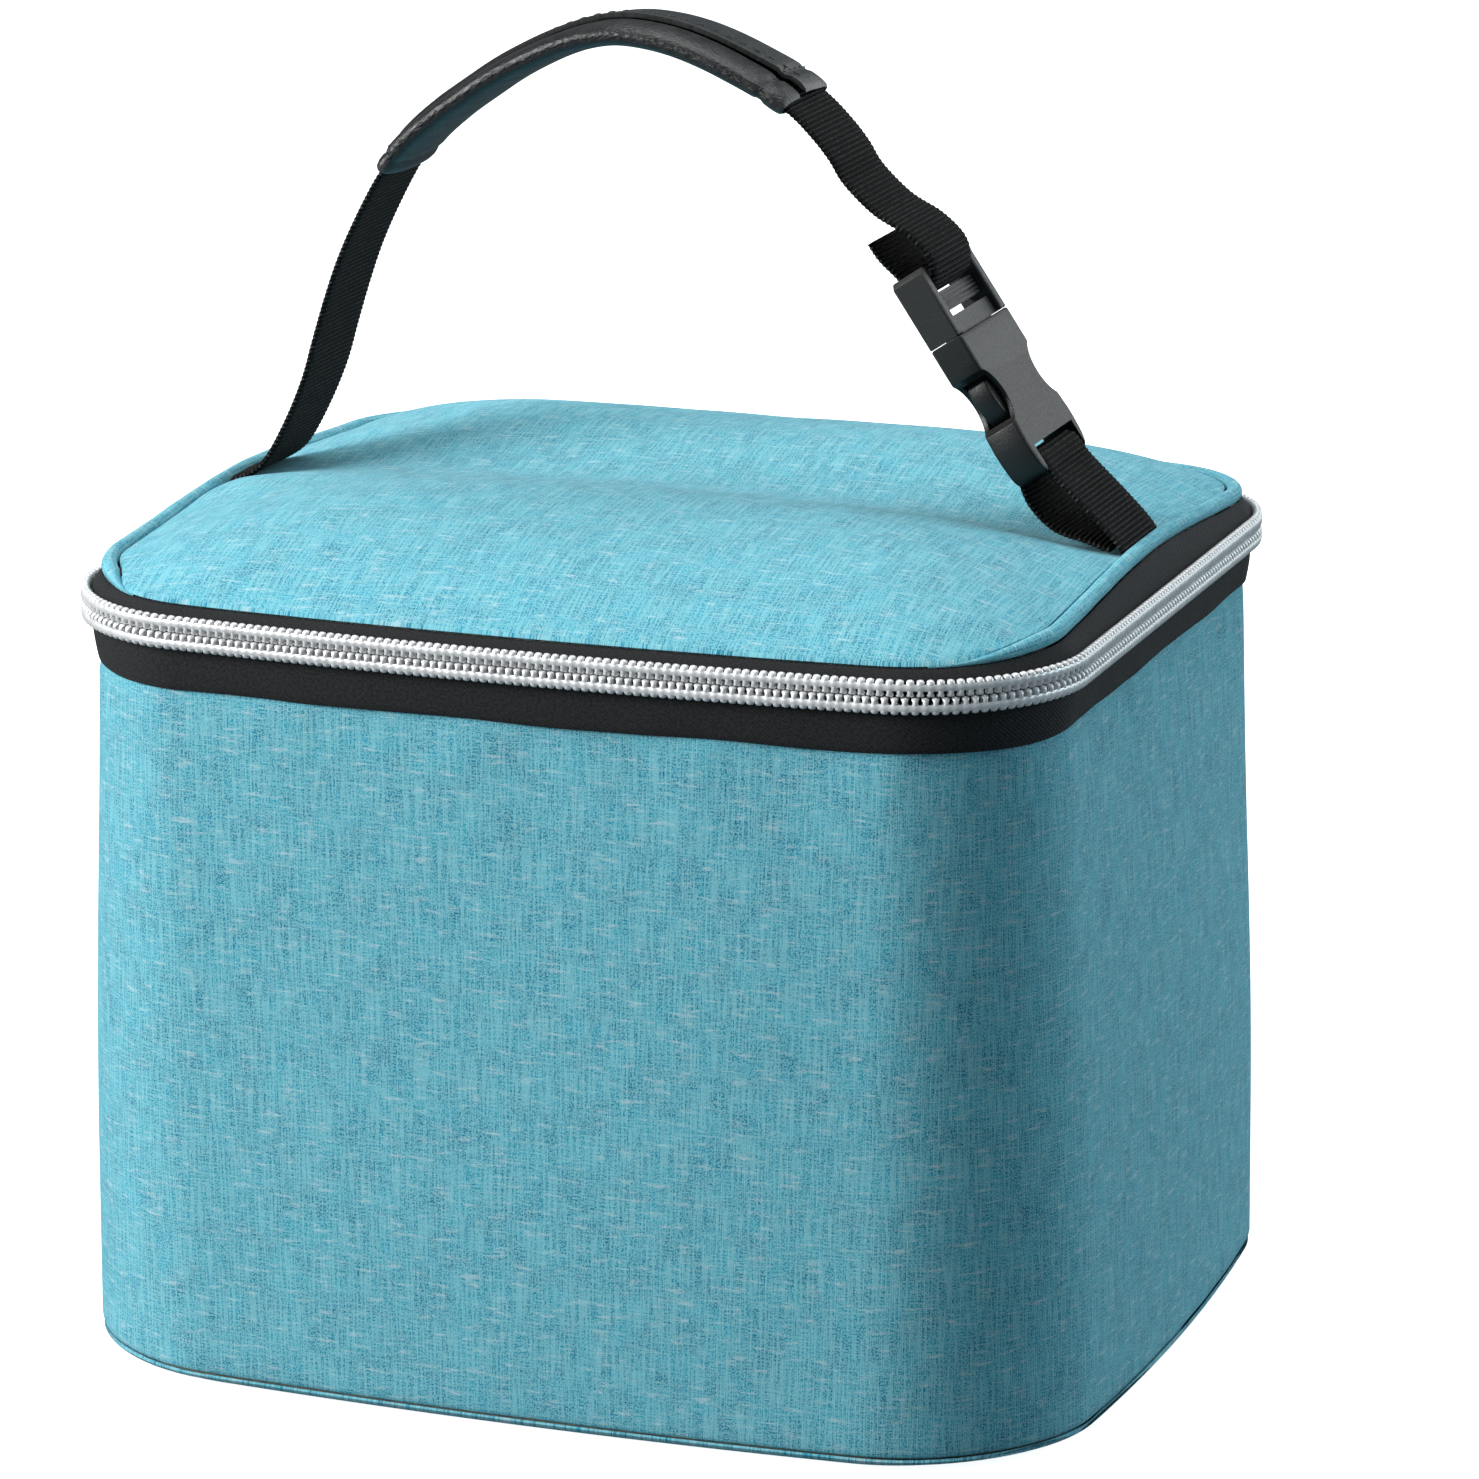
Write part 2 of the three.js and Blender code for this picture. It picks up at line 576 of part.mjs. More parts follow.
function addBase() {
  const { shell, board, foam, foil, tape } = MATERIALS;
  const boardTop = FABRIC + 2 * GAP + BOARD;
  const foamTop = boardTop + GAP + 4;
  const lining = FABRIC + FOAM + 2 * LAYER_GAP;
  addPiece('base_panel', plate(0, FABRIC + 0.1, 0.4), shell);
  addPiece('base_board', plate(FABRIC + 2 * GAP, boardTop, FABRIC + 1), board);
  addPiece('base_foam', plate(boardTop + GAP, foamTop, FABRIC + 1), foam);
  addPiece('base_liner', plate(foamTop + GAP, foamTop + GAP + LINER, lining), foil);
  addPiece('body_wrap', wallRing(FABRIC + 2 * GAP, WALL_TOP, 0, FABRIC), shell);
  const paddingTop = WALL_TOP - BINDING_HEIGHT - GAP;
  addPiece('side_foam', wallRing(foamTop + GAP, paddingTop, FABRIC + LAYER_GAP, FOAM), foam);
  addPiece('side_liner', wallRing(foamTop + 2 * GAP + LINER, paddingTop, lining, LINER), foil);
  const wall = FOAM + 2 * LAYER_GAP + LINER;
  addPiece('mouth_binding', wallRing(WALL_TOP - BINDING_HEIGHT, WALL_TOP, FABRIC + GAP, wall, 1), tape);
}

function addZip() {
  const { tape, teeth, metal, shell } = MATERIALS;
  addPiece('zip_tape_lower', strip(zipStations(), tapeSection(false)), tape);
  addPiece('zip_tape_upper', strip(zipStations(), tapeSection(true)), tape);
  addPiece('zip_coil_lower', strip(zipStations(), coilSection(false)), teeth);
  addPiece('zip_coil_upper', strip(zipStations(), coilSection(true)), teeth);
  addPiece('zip_slider', zipSlider(), metal);
  addPiece('pull_tab', pullTab(), metal);
  addPiece('rear_hinge_panel', rearHinge(), shell);
}

function addLid() {
  const { shell, foam, foil, tape } = MATERIALS;
  const foamDrop = FABRIC + LAYER_GAP;
  addPiece('lid_panel', lidLayer(0, FABRIC, panelInset), shell);
  addPiece('lid_foam', lidLayer(foamDrop, FOAM, paddingInset), foam);
  addPiece('lid_liner', lidLayer(foamDrop + FOAM + LAYER_GAP, LINER, paddingInset), foil);
  addPiece('lid_piping', lidPiping(), shell);
  addPiece('lid_binding', lidBinding(), tape);
}

function addHandle() {
  const { webbing, leather, plastic } = MATERIALS;
  addPiece('handle_webbing_left', webbingAlong(HANDLE_LEFT, 30), webbing);
  addPiece('handle_webbing', handleWebbing(), webbing);
  addPiece('grip_wrap', gripWrap(), leather);
  addPiece('loop_webbing', loopWebbing(), webbing);
  const buckle = new THREE.Group();
  buckle.position.set(BUCKLE_TOP.x, 0, BUCKLE_TOP.y);
  buckle.rotation.y = BUCKLE_TILT;
  addPiece('buckle_female', buckleFemale(), plastic, buckle);
  addPiece('buckle_male', buckleMale(), plastic, buckle);
  addPiece('latch_arm_front', latchArm(-1), plastic, buckle);
  addPiece('latch_arm_back', latchArm(1), plastic, buckle);
  group.add(buckle);
}

addBase();
addZip();
addLid();
addHandle();

export default group;
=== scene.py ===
"""The looks of a soft insulated lunch bag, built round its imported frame.

Shapes are worked out in millimetres, in the frame's own axes, and become metres in make_object().
"""
import math

import bmesh
import bpy
import numpy as np
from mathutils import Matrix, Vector, noise


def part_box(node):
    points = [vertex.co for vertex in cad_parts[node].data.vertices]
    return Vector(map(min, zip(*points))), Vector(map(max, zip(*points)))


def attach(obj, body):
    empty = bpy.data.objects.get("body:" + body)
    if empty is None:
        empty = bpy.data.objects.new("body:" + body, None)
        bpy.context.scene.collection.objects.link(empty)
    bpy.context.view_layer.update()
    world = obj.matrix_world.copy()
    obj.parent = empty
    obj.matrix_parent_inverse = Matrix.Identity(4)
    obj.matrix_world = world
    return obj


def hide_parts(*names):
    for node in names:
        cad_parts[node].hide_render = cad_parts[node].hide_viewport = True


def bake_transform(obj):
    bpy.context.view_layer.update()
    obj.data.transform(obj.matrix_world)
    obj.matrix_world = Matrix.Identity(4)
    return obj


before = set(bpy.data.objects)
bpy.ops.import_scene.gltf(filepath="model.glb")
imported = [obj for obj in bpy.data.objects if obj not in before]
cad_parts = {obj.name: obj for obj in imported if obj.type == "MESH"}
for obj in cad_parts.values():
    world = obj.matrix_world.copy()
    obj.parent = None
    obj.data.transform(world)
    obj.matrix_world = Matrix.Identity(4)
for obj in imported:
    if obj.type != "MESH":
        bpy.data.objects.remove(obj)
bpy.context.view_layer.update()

MM = 0.001


# ---------------- sizes
def low_high(node, axis):
    """Lowest and highest coordinate of a CAD node, in millimetres."""
    low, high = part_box(node)
    return low[axis] / MM, high[axis] / MM


WALL_TOP = low_high("body_wrap", 2)[1]
ZIP_HEIGHT = (low_high("zip_coil_lower", 2)[1] + low_high("zip_coil_upper", 2)[0]) / 2
LID_EDGE = low_high("lid_panel", 2)[0]
BASE_TOP = low_high("base_panel", 2)[1]
FOAM_FLOOR, FOAM_TOP = low_high("side_foam", 2)
LINER_FLOOR = low_high("base_liner", 2)[0]

# Half width, half depth, corner radius, and how far the front, back and sides bow out.
BASE_PLAN = np.array([110, 95.5, 36, 5.9, 3, 6.1])
MOUTH_PLAN = np.array([107, 93, 29.4, 6.2, 0, 0])
HALF_WIDTH, HALF_DEPTH, CORNER = MOUTH_PLAN[:3]

FABRIC = 1.0
FOAM_DEPTH = (1.8, 6.8)          # how deep the foam lies under the outer surface
LINER_DEPTH = (7.6, 8.2)
SIDE_LIFT = 5                    # the anchors lift the lid's seam at the sides
LIFT_REACH = 55
LID_CROWN = 190.2
LID_FULLNESS = 3.3               # a higher power keeps the lid's height nearer to its seam
VALLEY_DEPTH = 7.2
VALLEY_REACH = 24
PIPING_RADIUS = 1.7

TAPE = 0.8
TAPE_GAP = 2.3                   # from the zip's middle line to each tape's edge
TOOTH_PITCH = 1.85
FIRST_TOOTH = (0.25, 0.75)       # in pitches: the lower and the upper row take turns
TAPE_OUT = 2.0                   # how far out the tapes' faces lie at the teeth
SEWN_AT = (1.15, 0.15)           # and how far out the lower and the upper face lie at their seams
THREAD_AT = (4.27, 2.15)         # middle of the sewn thread: out from the outline, up from the zip's line
THREAD_HALF = (0.24, 0.72)       # half its thickness and half its height
ZIP_OPENING = 1.9                # how far each row of teeth parts beyond the slider
SLIDER_Y = 40

WEBBING_WIDTH = 25
WEBBING = 1.3
RIB_PITCH = 1.1
STRAP_SPLIT = 0.28               # share of the left strap below the cut between its foot and its riser
GRIP_HALF_WIDTH = 14.4
GRIP_HALF_HEIGHT = 3

BUCKLE_TOP = np.array([55.5, 235.5])     # X and Z
BUCKLE_TILT = math.radians(56)


# ---------------- small maths
UP = np.array([0, 0, 1.0])


def smooth(value, low, high):
    """0 below low, 1 above high, and a smooth step between."""
    share = np.clip((value - low) / (high - low), 0, 1)
    return share * share * (3 - 2 * share)


def bell(value, middle, reach):
    return np.exp(-(((value - middle) / reach) ** 2))


def squared(value, power):
    """A sine or cosine pushed outward, which makes a circle into a rounded box."""
    return np.sign(value) * np.abs(value) ** power


def direction(azimuth, elevation):
    """A direction seen from the bag, in degrees. Azimuth 0 is the front and 90 the right side."""
    turn, rise = math.radians(azimuth), math.radians(elevation)
    return Vector((math.sin(turn) * math.cos(rise), -math.cos(turn) * math.cos(rise), math.sin(rise)))


def wobble(points, size, seed=0.0):
    """Smooth noise from -1 to 1 at points in millimetres; size is one number or one for each axis."""
    flat = points.reshape(-1, 3) / np.asarray(size, float) + seed
    return np.array([noise.noise(p) for p in flat.tolist()]).reshape(points.shape[:-1])


def unit(vectors):
    return vectors / np.maximum(np.linalg.norm(vectors, axis=-1, keepdims=True), 1e-9)


def turned_to(away, vectors):
    """The vectors, each turned round if it points against away."""
    return vectors * np.where((vectors * away).sum(-1) < 0, -1, 1)[..., None]


def in_3d(xy):
    """Points or directions at height 0."""
    return np.column_stack([xy, np.zeros(len(xy))])


def full_turn(count):
    return np.linspace(0, 2 * math.pi, count, endpoint=False)


def distances(points):
    """How far along a line each of its points lies."""
    return np.concatenate([[0], np.cumsum(np.linalg.norm(np.diff(points, axis=0), axis=1))])


def smooth_line(points, step):
    """Even points about step apart on a Catmull-Rom curve through points, and the tangents there."""
    p = np.asarray(points, float)
    p = np.vstack([2 * p[0] - p[1], p, 2 * p[-1] - p[-2]])
    t = np.linspace(0, 1, 24, endpoint=False)[:, None]
    dense = []
    for a, b, c, d in zip(p, p[1:], p[2:], p[3:]):
        dense.append(
            0.5 * (2 * b + (c - a) * t + (2 * a - 5 * b + 4 * c - d) * t**2 + (3 * b - a - 3 * c + d) * t**3)
        )
    dense = np.vstack([*dense, p[-2:-1]])
    run = distances(dense)
    at = np.linspace(0, run[-1], max(int(run[-1] / step), 2) + 1)
    line = np.stack([np.interp(at, run, dense[:, k]) for k in range(dense.shape[1])], axis=1)
    return line, unit(np.gradient(line, axis=0)), at


# ---------------- outline of the bag
CORNERS = [(-1, 1, 90), (-1, -1, 180), (1, -1, 270), (1, 1, 0)]


def make_stations(corner_steps, side_steps):
    """Stations from the back left corner along the left side, the front, the right side and the back.

    A row holds two corner points, each as side, side and angle, and the share of the way between them.
    """
    rows = []
    for (x, y, start), following in zip(CORNERS, CORNERS[1:] + CORNERS[:1]):
        for i in range(corner_steps + 1):
            here = (x, y, start + 90 * i / corner_steps)
            rows.append((*here, *here, 0))
        for i in range(1, side_steps):
            rows.append((x, y, start + 90, *following, i / side_steps))
    return np.array(rows, float)


def outline(stations, height, inset=0.0):
    """X and Y of the stations at a height, moved inward by inset. Both may be arrays of rows."""
    share = np.clip(np.asarray(height, float) / ZIP_HEIGHT, 0, 1)
    plan = [b + (m - b) * share for b, m in zip(BASE_PLAN, MOUTH_PLAN)]
    half_width, half_depth, corner = plan[0] - inset, plan[1] - inset, np.maximum(plan[2] - inset, 3)
    ends = []
    for k in (0, 3):
        angle = np.radians(stations[:, k + 2])
        ends.append((
            stations[:, k] * (half_width - corner) + corner * np.cos(angle),
            stations[:, k + 1] * (half_depth - corner) + corner * np.sin(angle),
        ))
    (x0, y0), (x1, y1) = ends
    x = x0 + (x1 - x0) * stations[:, 6]
    y = y0 + (y1 - y0) * stations[:, 6]
    across, deep = x / half_width, y / half_depth
    bow = np.where(y < 0, plan[3], plan[4])
    return x + plan[5] * (1 - deep**2) * across, y + bow * (1 - across**2) * deep


class Track:
    """The outline at the zip's height, by distance along it."""

    def __init__(self, stations, closed):
        x, y = outline(stations, ZIP_HEIGHT)
        if closed:
            x, y = np.append(x, x[0]), np.append(y, y[0])
        self.points = np.stack([x, y], axis=1)
        self.run = distances(self.points)
        self.length = self.run[-1]
        self.closed = closed

    def place(self, s):
        s = np.asarray(s, float)
        if self.closed:
            s = s % self.length
        return np.stack([np.interp(s, self.run, self.points[:, k]) for k in (0, 1)], axis=-1)

    def at(self, s):
        """Points, and the directions along and outward there."""
        along = unit(self.place(np.asarray(s) + 0.6) - self.place(np.asarray(s) - 0.6))
        out = np.stack([along[..., 1], -along[..., 0]], axis=-1)
        middle = self.place(s)
        return middle, along, turned_to(middle, out)

    def where(self, x, y):
        """The distance along the track of its point nearest to (x, y)."""
        return self.run[np.argmin(np.hypot(self.points[:, 0] - x, self.points[:, 1] - y))]


CORNER_STEPS, SIDE_STEPS = 60, 160
FINE = make_stations(CORNER_STEPS, SIDE_STEPS)
RING = make_stations(30, 60)
LOOP = Track(FINE, closed=True)
ZIP = Track(FINE[: 1 - SIDE_STEPS], closed=False)        # all but the back


def seam_height(xy):
    """Height of the lid's seam over points of the outline."""
    beside = smooth(np.abs(xy[..., 0]) / HALF_WIDTH, 0.6, 0.98)
    return LID_EDGE + SIDE_LIFT * beside * bell(xy[..., 1], 0, LIFT_REACH)


def parting(xy):
    """How far each row of teeth stands off the middle line: nothing up to the slider, more beyond it."""
    return np.where(xy[..., 0] < 0, ZIP_OPENING * smooth(xy[..., 1], SLIDER_Y - 6, SLIDER_Y + 2), 0)


# ---------------- meshes
def add_object(name, data):
    """An object in the scene that holds a mesh, a light or a camera."""
    made = bpy.data.objects.new(name, data)
    bpy.context.scene.collection.objects.link(made)
    return made


def make_object(name, points, faces, uv=None):
    """A smooth object from points in millimetres; uv holds millimetres too, one pair per face corner."""
    mesh = bpy.data.meshes.new(name)
    mesh.from_pydata((np.asarray(points, float) * MM).tolist(), [], faces)
    if uv is not None:
        layer = mesh.uv_layers.new(name="UVMap")
        layer.data.foreach_set("uv", (np.asarray(uv, float) * MM).ravel())
    close_up(mesh)
    return add_object(name, mesh)


def close_up(mesh):
    """Turns the faces outward, and keeps sharp only the edges that are sharp."""
    work = bmesh.new()
    work.from_mesh(mesh)
    bmesh.ops.recalc_face_normals(work, faces=work.faces)
    work.to_mesh(mesh)
    work.free()
    mesh.polygons.foreach_set("use_smooth", [True] * len(mesh.polygons))
    mesh.set_sharp_from_angle(angle=math.radians(50))


def quads(rows, columns, wrap_rows=False, wrap_columns=False):
    """Corner indices of a grid, as (row, column) pairs, not yet wrapped."""
    j, i = np.meshgrid(
        np.arange(rows if wrap_rows else rows - 1),
        np.arange(columns if wrap_columns else columns - 1),
        indexing="ij",
    )
    j, i = j.ravel(), i.ravel()
    return np.stack([j, j, j + 1, j + 1], 1), np.stack([i, i + 1, i + 1, i], 1)


def rod_faces(rows, around, first):
    """Faces of a closed rod whose rings of points start at index first."""
    j, i = quads(rows, around, False, True)
    faces = (first + j * around + i % around).tolist()
    return faces + [[first + row * around + k for k in range(around)] for row in (0, rows - 1)]


def shell(name, outer, inner, uv, wrap=False):
    """A closed sheet between two grids of points, with a rounded rim. It may wrap round in its columns."""
    def edge_row(a, b, before):
        half = np.linalg.norm(a - b, axis=-1, keepdims=True) / 2
        return (a + b) / 2 + unit(a - before) * half

    top = edge_row(outer[-1], inner[-1], outer[-2])
    bottom = edge_row(outer[0], inner[0], outer[1])
    points = np.concatenate([outer, top[None], inner[::-1], bottom[None]])
    texture = np.concatenate([uv, uv[-1:], uv[::-1], uv[:1], uv[:1]])
    rows, columns = points.shape[:2]
    j, i = quads(rows, columns, True, wrap)
    faces = ((j % rows) * columns + i % columns).tolist()
    corners = texture[j, i].reshape(-1, 2)
    if not wrap:
        half = len(outer)
        for column in (0, columns - 1):
            left = [k * columns + column for k in range(half + 1)]
            right = [(rows - 1 - k) % rows * columns + column for k in range(half + 1)]
            loop = left + right[::-1][1:]
            faces.append(list(dict.fromkeys(loop)))
            texture_column = texture[:rows, min(column, texture.shape[1] - 1)]
            corners = np.vstack([corners, texture_column[[k // columns for k in faces[-1]]]])
    return make_object(name, points.reshape(-1, 3), faces, corners)


def tube(name, centre, out, radius, around):
    """A closed rod through centre points, with upright sections that face along it; out is level."""
    angle = full_turn(around)[:, None]
    ring = np.cos(angle) * in_3d(out)[:, None] + np.sin(angle) * UP
    points = centre[:, None] + ring * radius[:, None, None]
    rows = len(centre)
    run = distances(centre)
    girth = np.linspace(0, 2 * math.pi * radius.max(), around + 1)
    j, i = quads(rows, around, False, True)
    corners = [np.stack([girth[i], run[j]], -1).reshape(-1, 2)]
    corners += [np.stack([girth[:-1], np.full(around, run[row])], 1) for row in (0, rows - 1)]
    return make_object(name, points.reshape(-1, 3), rod_faces(rows, around, 0), np.vstack(corners))


# ---------------- nodes for materials
class Surface:
    """A Principled material with short calls for the nodes that feed it."""

    def __init__(self, name, roughness, metallic=0.0, **uniform):
        self.material = bpy.data.materials.new(name)
        self.material.use_nodes = True
        self.tree = self.material.node_tree
        self.shader = self.tree.nodes["Principled BSDF"]
        self.shader.inputs["Roughness"].default_value = roughness
        self.shader.inputs["Metallic"].default_value = metallic
        for key, value in uniform.items():
            self.shader.inputs[key.replace("_", " ")].default_value = value

    def feed(self, socket, value):
        """Links another node's output to a socket, or sets its value."""
        if isinstance(value, bpy.types.NodeSocket):
            self.tree.links.new(value, socket)
        else:
            socket.default_value = value

    def node(self, kind, inputs=None, **settings):
        made = self.tree.nodes.new("ShaderNode" + kind)
        for key, value in settings.items():
            setattr(made, key, value)
        for key, value in (inputs or {}).items():
            self.feed(made.inputs[key], value)
        return made

    def place(self, scale, turn=0.0, on_mesh=True):
        """Coordinates in units of 1/scale metres: on the mesh's own map, or in space."""
        if on_mesh:
            source = self.node("UVMap", uv_map="UVMap").outputs["UV"]
        else:
            source = self.node("TexCoord").outputs["Object"]
        inputs = {"Vector": source, "Scale": scale, "Rotation": (0, 0, turn)}
        return self.node("Mapping", inputs).outputs["Vector"]

    def in_space(self, scale):
        return self.place((scale, scale, scale), on_mesh=False)

    def noise(self, place, detail=2.0, roughness=0.5):
        inputs = {"Vector": place, "Scale": 1.0, "Detail": detail, "Roughness": roughness}
        return self.node("TexNoise", inputs).outputs["Fac"]

    def bars(self, per_metre, axis="X", turn=0.0, on_mesh=True):
        """Soft, even bands across an axis, so many to the metre."""
        place = self.place((1, 1, 1), turn, on_mesh)
        inputs = {"Vector": place, "Scale": 2 * math.pi * per_metre / 20, "Distortion": 0.0}
        return self.node("TexWave", inputs, wave_type="BANDS", bands_direction=axis).outputs["Fac"]

    def cells(self, place, feature):
        return self.node("TexVoronoi", {"Vector": place, "Scale": 1.0}, feature=feature).outputs["Distance"]

    def level(self, value, low, high, to_low=0.0, to_high=1.0):
        """value, from low to high, as a number from to_low to to_high."""
        inputs = {"Value": value, "From Min": low, "From Max": high, "To Min": to_low, "To Max": to_high}
        return self.node("MapRange", inputs, interpolation_type="SMOOTHSTEP").outputs["Result"]

    def maths(self, operation, a, b=0.0):
        made = self.node("Math", operation=operation)
        for socket, value in zip(made.inputs, (a, b)):
            self.feed(socket, value)
        return made.outputs["Value"]

    def mix(self, share, a, b):
        """Colour a where share is 0, and b where it is 1."""
        made = self.node("Mix", data_type="RGBA")
        for key, kind, value in (("Factor", "VALUE", share), ("A", "RGBA", a), ("B", "RGBA", b)):
            socket = next(s for s in made.inputs if s.name == key and s.type == kind)
            self.feed(socket, (*value, 1) if isinstance(value, tuple) else value)
        return next(s for s in made.outputs if s.type == "RGBA")

    def mottle(self, noise, dark, pale):
        """A colour that drifts between dark and pale with a noise."""
        return self.mix(self.level(noise, 0.3, 0.7), dark, pale)

    def painted_edge_highlight(self, pointed, share, shade, pale):
        """shade, with sharp edges painted paler as a painted highlight; pointed is how sharp an edge has to
        be to take it.
        """
        edge = self.level(self.node("NewGeometry").outputs["Pointiness"], 0.51, pointed)
        return self.mix(self.maths("MULTIPLY", edge, share), shade, pale)

    def colour(self, socket):
        self.tree.links.new(socket, self.shader.inputs["Base Color"])

    def rough(self, socket):
        self.tree.links.new(socket, self.shader.inputs["Roughness"])

    def bump(self, *layers):
        """Bumps from (height socket, depth in millimetres) pairs, one over another."""
        normal = None
        for height, depth in layers:
            inputs = {"Height": height, "Distance": depth * MM, "Strength": 1.0}
            if normal:
                inputs["Normal"] = normal
            normal = self.node("Bump", inputs).outputs["Normal"]
        self.tree.links.new(normal, self.shader.inputs["Normal"])


# ---------------- materials
TEAL_DARK = (0.003, 0.165, 0.290)
TEAL = (0.020, 0.340, 0.480)
TEAL_PALE = (0.26, 0.62, 0.69)
SLUB_PALE = (0.56, 0.72, 0.75)


def melange_fabric():
    """Two-tone polyester: pale threads run up a teal ground, with slubs across and a fine weave."""
    s = Surface("shell_fabric", 0.86, Sheen_Weight=0.12, Sheen_Roughness=0.5, Specular_IOR_Level=0.2)
    s.shader.inputs["Sheen Tint"].default_value = (0.75, 0.93, 1.0, 1)
    threads = s.noise(s.place((2200, 85, 1)), 1.0, 0.6)
    cross = s.noise(s.place((190, 2200, 1)), 1.0, 0.6)
    grain = s.noise(s.place((2600, 2600, 1)), 0.0)
    cloud = s.noise(s.place((120, 120, 1)), 6.0, 0.7)
    slub = s.noise(s.place((170, 800, 1)), 3.0, 0.65)
    ground = s.mix(s.level(cloud, 0.32, 0.66), TEAL_DARK, TEAL)
    ground = s.mix(s.level(threads, 0.43, 0.63, 0.0, 0.62), ground, TEAL_PALE)
    ground = s.mix(s.level(cross, 0.46, 0.68, 0.0, 0.48), ground, TEAL_PALE)
    ground = s.mix(s.level(grain, 0.38, 0.60, 0.0, 0.68), ground, TEAL_PALE)
    s.colour(s.mix(s.level(slub, 0.53, 0.72, 0.0, 0.55), ground, SLUB_PALE))
    weave = s.maths("MULTIPLY", s.bars(2200), s.bars(2200, "Y"))
    s.bump((weave, 0.05), (grain, 0.10), (threads, 0.06))
    return s.material


def black_tape():
    """Woven polyester zip tape: a fine charcoal twill."""
    s = Surface("zip_tape", 0.8, Sheen_Weight=0.04, Specular_IOR_Level=0.2)
    grain = s.noise(s.place((1500, 1500, 1)), 2.0)
    streak = s.noise(s.place((300, 2600, 1)), 2.0)
    twill = s.bars(1300, turn=math.radians(45))
    shade = s.mottle(grain, (0.010, 0.0105, 0.011), (0.026, 0.027, 0.028))
    s.colour(s.mix(s.level(streak, 0.62, 0.8, 0, 0.5), shade, (0.055, 0.057, 0.058)))
    s.bump((twill, 0.08), (grain, 0.08))
    return s.material


def silver_teeth():
    """Nylon teeth with a bright silver plating."""
    s = Surface("zip_teeth", 0.36, 0.3, Specular_IOR_Level=0.5)
    wear = s.noise(s.in_space(420), 3.0)
    s.colour(s.mottle(wear, (0.80, 0.79, 0.79), (0.92, 0.91, 0.91)))
    s.rough(s.level(wear, 0.3, 0.75, 0.32, 0.44))
    s.bump((s.noise(s.in_space(1800), 1.0), 0.012))
    return s.material


def plated_metal():
    """The die-cast slider and its tab: nickel plate with fine scratches."""
    s = Surface("zip_metal", 0.22, 1.0)
    cloud = s.noise(s.in_space(300), 4.0)
    scratch = s.noise(s.place((150, 150, 6000), on_mesh=False), 3.0)
    s.colour(s.mottle(cloud, (0.55, 0.56, 0.58), (0.74, 0.75, 0.77)))
    s.rough(s.level(scratch, 0.3, 0.8, 0.18, 0.42))
    s.bump((cloud, 0.04), (scratch, 0.01))
    return s.material


def black_webbing():
    """Ribbed polyester webbing: bars across the strap, each a row of small thread tops. The rib crowns are
    painted paler and the grooves darker as painted light and shade, and the thread tops carry painted
    highlights.
    """
    s = Surface("webbing", 0.7, Specular_IOR_Level=0.07)
    bar = s.bars(1000 / RIB_PITCH, "Y")
    thread = s.bars(1250)
    grain = s.noise(s.place((1500, 800, 1)), 2.0)
    # painted light and shade: the rib crowns, in step with the ribs' bump, are painted paler and the grooves
    # darker
    crown = s.level(bar, 0.45, 0.95)
    ground = s.mix(crown, (0.0025, 0.0024, 0.0023), (0.013, 0.0125, 0.012))
    # painted highlights: pale dots on the thread tops of the rib crowns
    tops = s.maths("MULTIPLY", crown, s.level(thread, 0.2, 0.9))
    painted_glints = s.maths("MULTIPLY", tops, s.level(grain, 0.4, 0.62))
    s.colour(s.mix(s.maths("MULTIPLY", painted_glints, 0.9), ground, (0.07, 0.067, 0.063)))
    s.bump((bar, 0.12), (thread, 0.05), (grain, 0.06))
    return s.material


def black_leather():
    """Semi-gloss coated leather: fine pebbles, soft creases, and sharp edges painted paler as a painted
    highlight.
    """
    s = Surface("grip_leather", 0.40, Specular_IOR_Level=0.5)
    pebble = s.cells(s.place((1100, 1100, 1)), "SMOOTH_F1")
    crease = s.noise(s.place((120, 320, 1)), 4.0, 0.6)
    shade = s.mottle(crease, (0.008, 0.0075, 0.0075), (0.017, 0.016, 0.016))
    # painted highlight: the sharp edges of the leather are painted a paler grey
    s.colour(s.painted_edge_highlight(0.58, 0.35, shade, (0.12, 0.12, 0.12)))
    s.rough(s.level(crease, 0.25, 0.75, 0.34, 0.5))
    s.bump((crease, 0.12), (pebble, 0.15))
    return s.material


def moulded_plastic():
    """Black acetal from a lightly textured mould."""
    s = Surface("buckle_plastic", 0.42, Specular_IOR_Level=0.42)
    spark = s.noise(s.in_space(2600), 2.0)
    flow = s.noise(s.in_space(60), 3.0)
    shade = s.mottle(flow, (0.006, 0.0055, 0.005), (0.011, 0.0102, 0.0095))
    # painted highlight: the buckle's sharp edges are painted a paler grey
    s.colour(s.painted_edge_highlight(0.6, 0.3, shade, (0.07, 0.068, 0.065)))
    s.rough(s.level(spark, 0.3, 0.7, 0.36, 0.5))
    s.bump((spark, 0.05), (flow, 0.1))
    return s.material


def crinkled_foil():
    """Aluminium-faced lining film, pressed in a small grid and creased by use."""
    s = Surface("foil_liner", 0.28, 0.9)
    fold = s.level(s.cells(s.place((90, 90, 1)), "DISTANCE_TO_EDGE"), 0.0, 0.12)
    cloud = s.noise(s.place((160, 160, 1)), 5.0, 0.6)
    grid = s.maths("MULTIPLY", s.bars(400), s.bars(400, "Y"))
    s.colour(s.mottle(cloud, (0.60, 0.61, 0.63), (0.80, 0.81, 0.83)))
    s.rough(s.level(cloud, 0.3, 0.75, 0.2, 0.42))
    s.bump((cloud, 0.9), (fold, 0.35), (grid, 0.08))
    return s.material


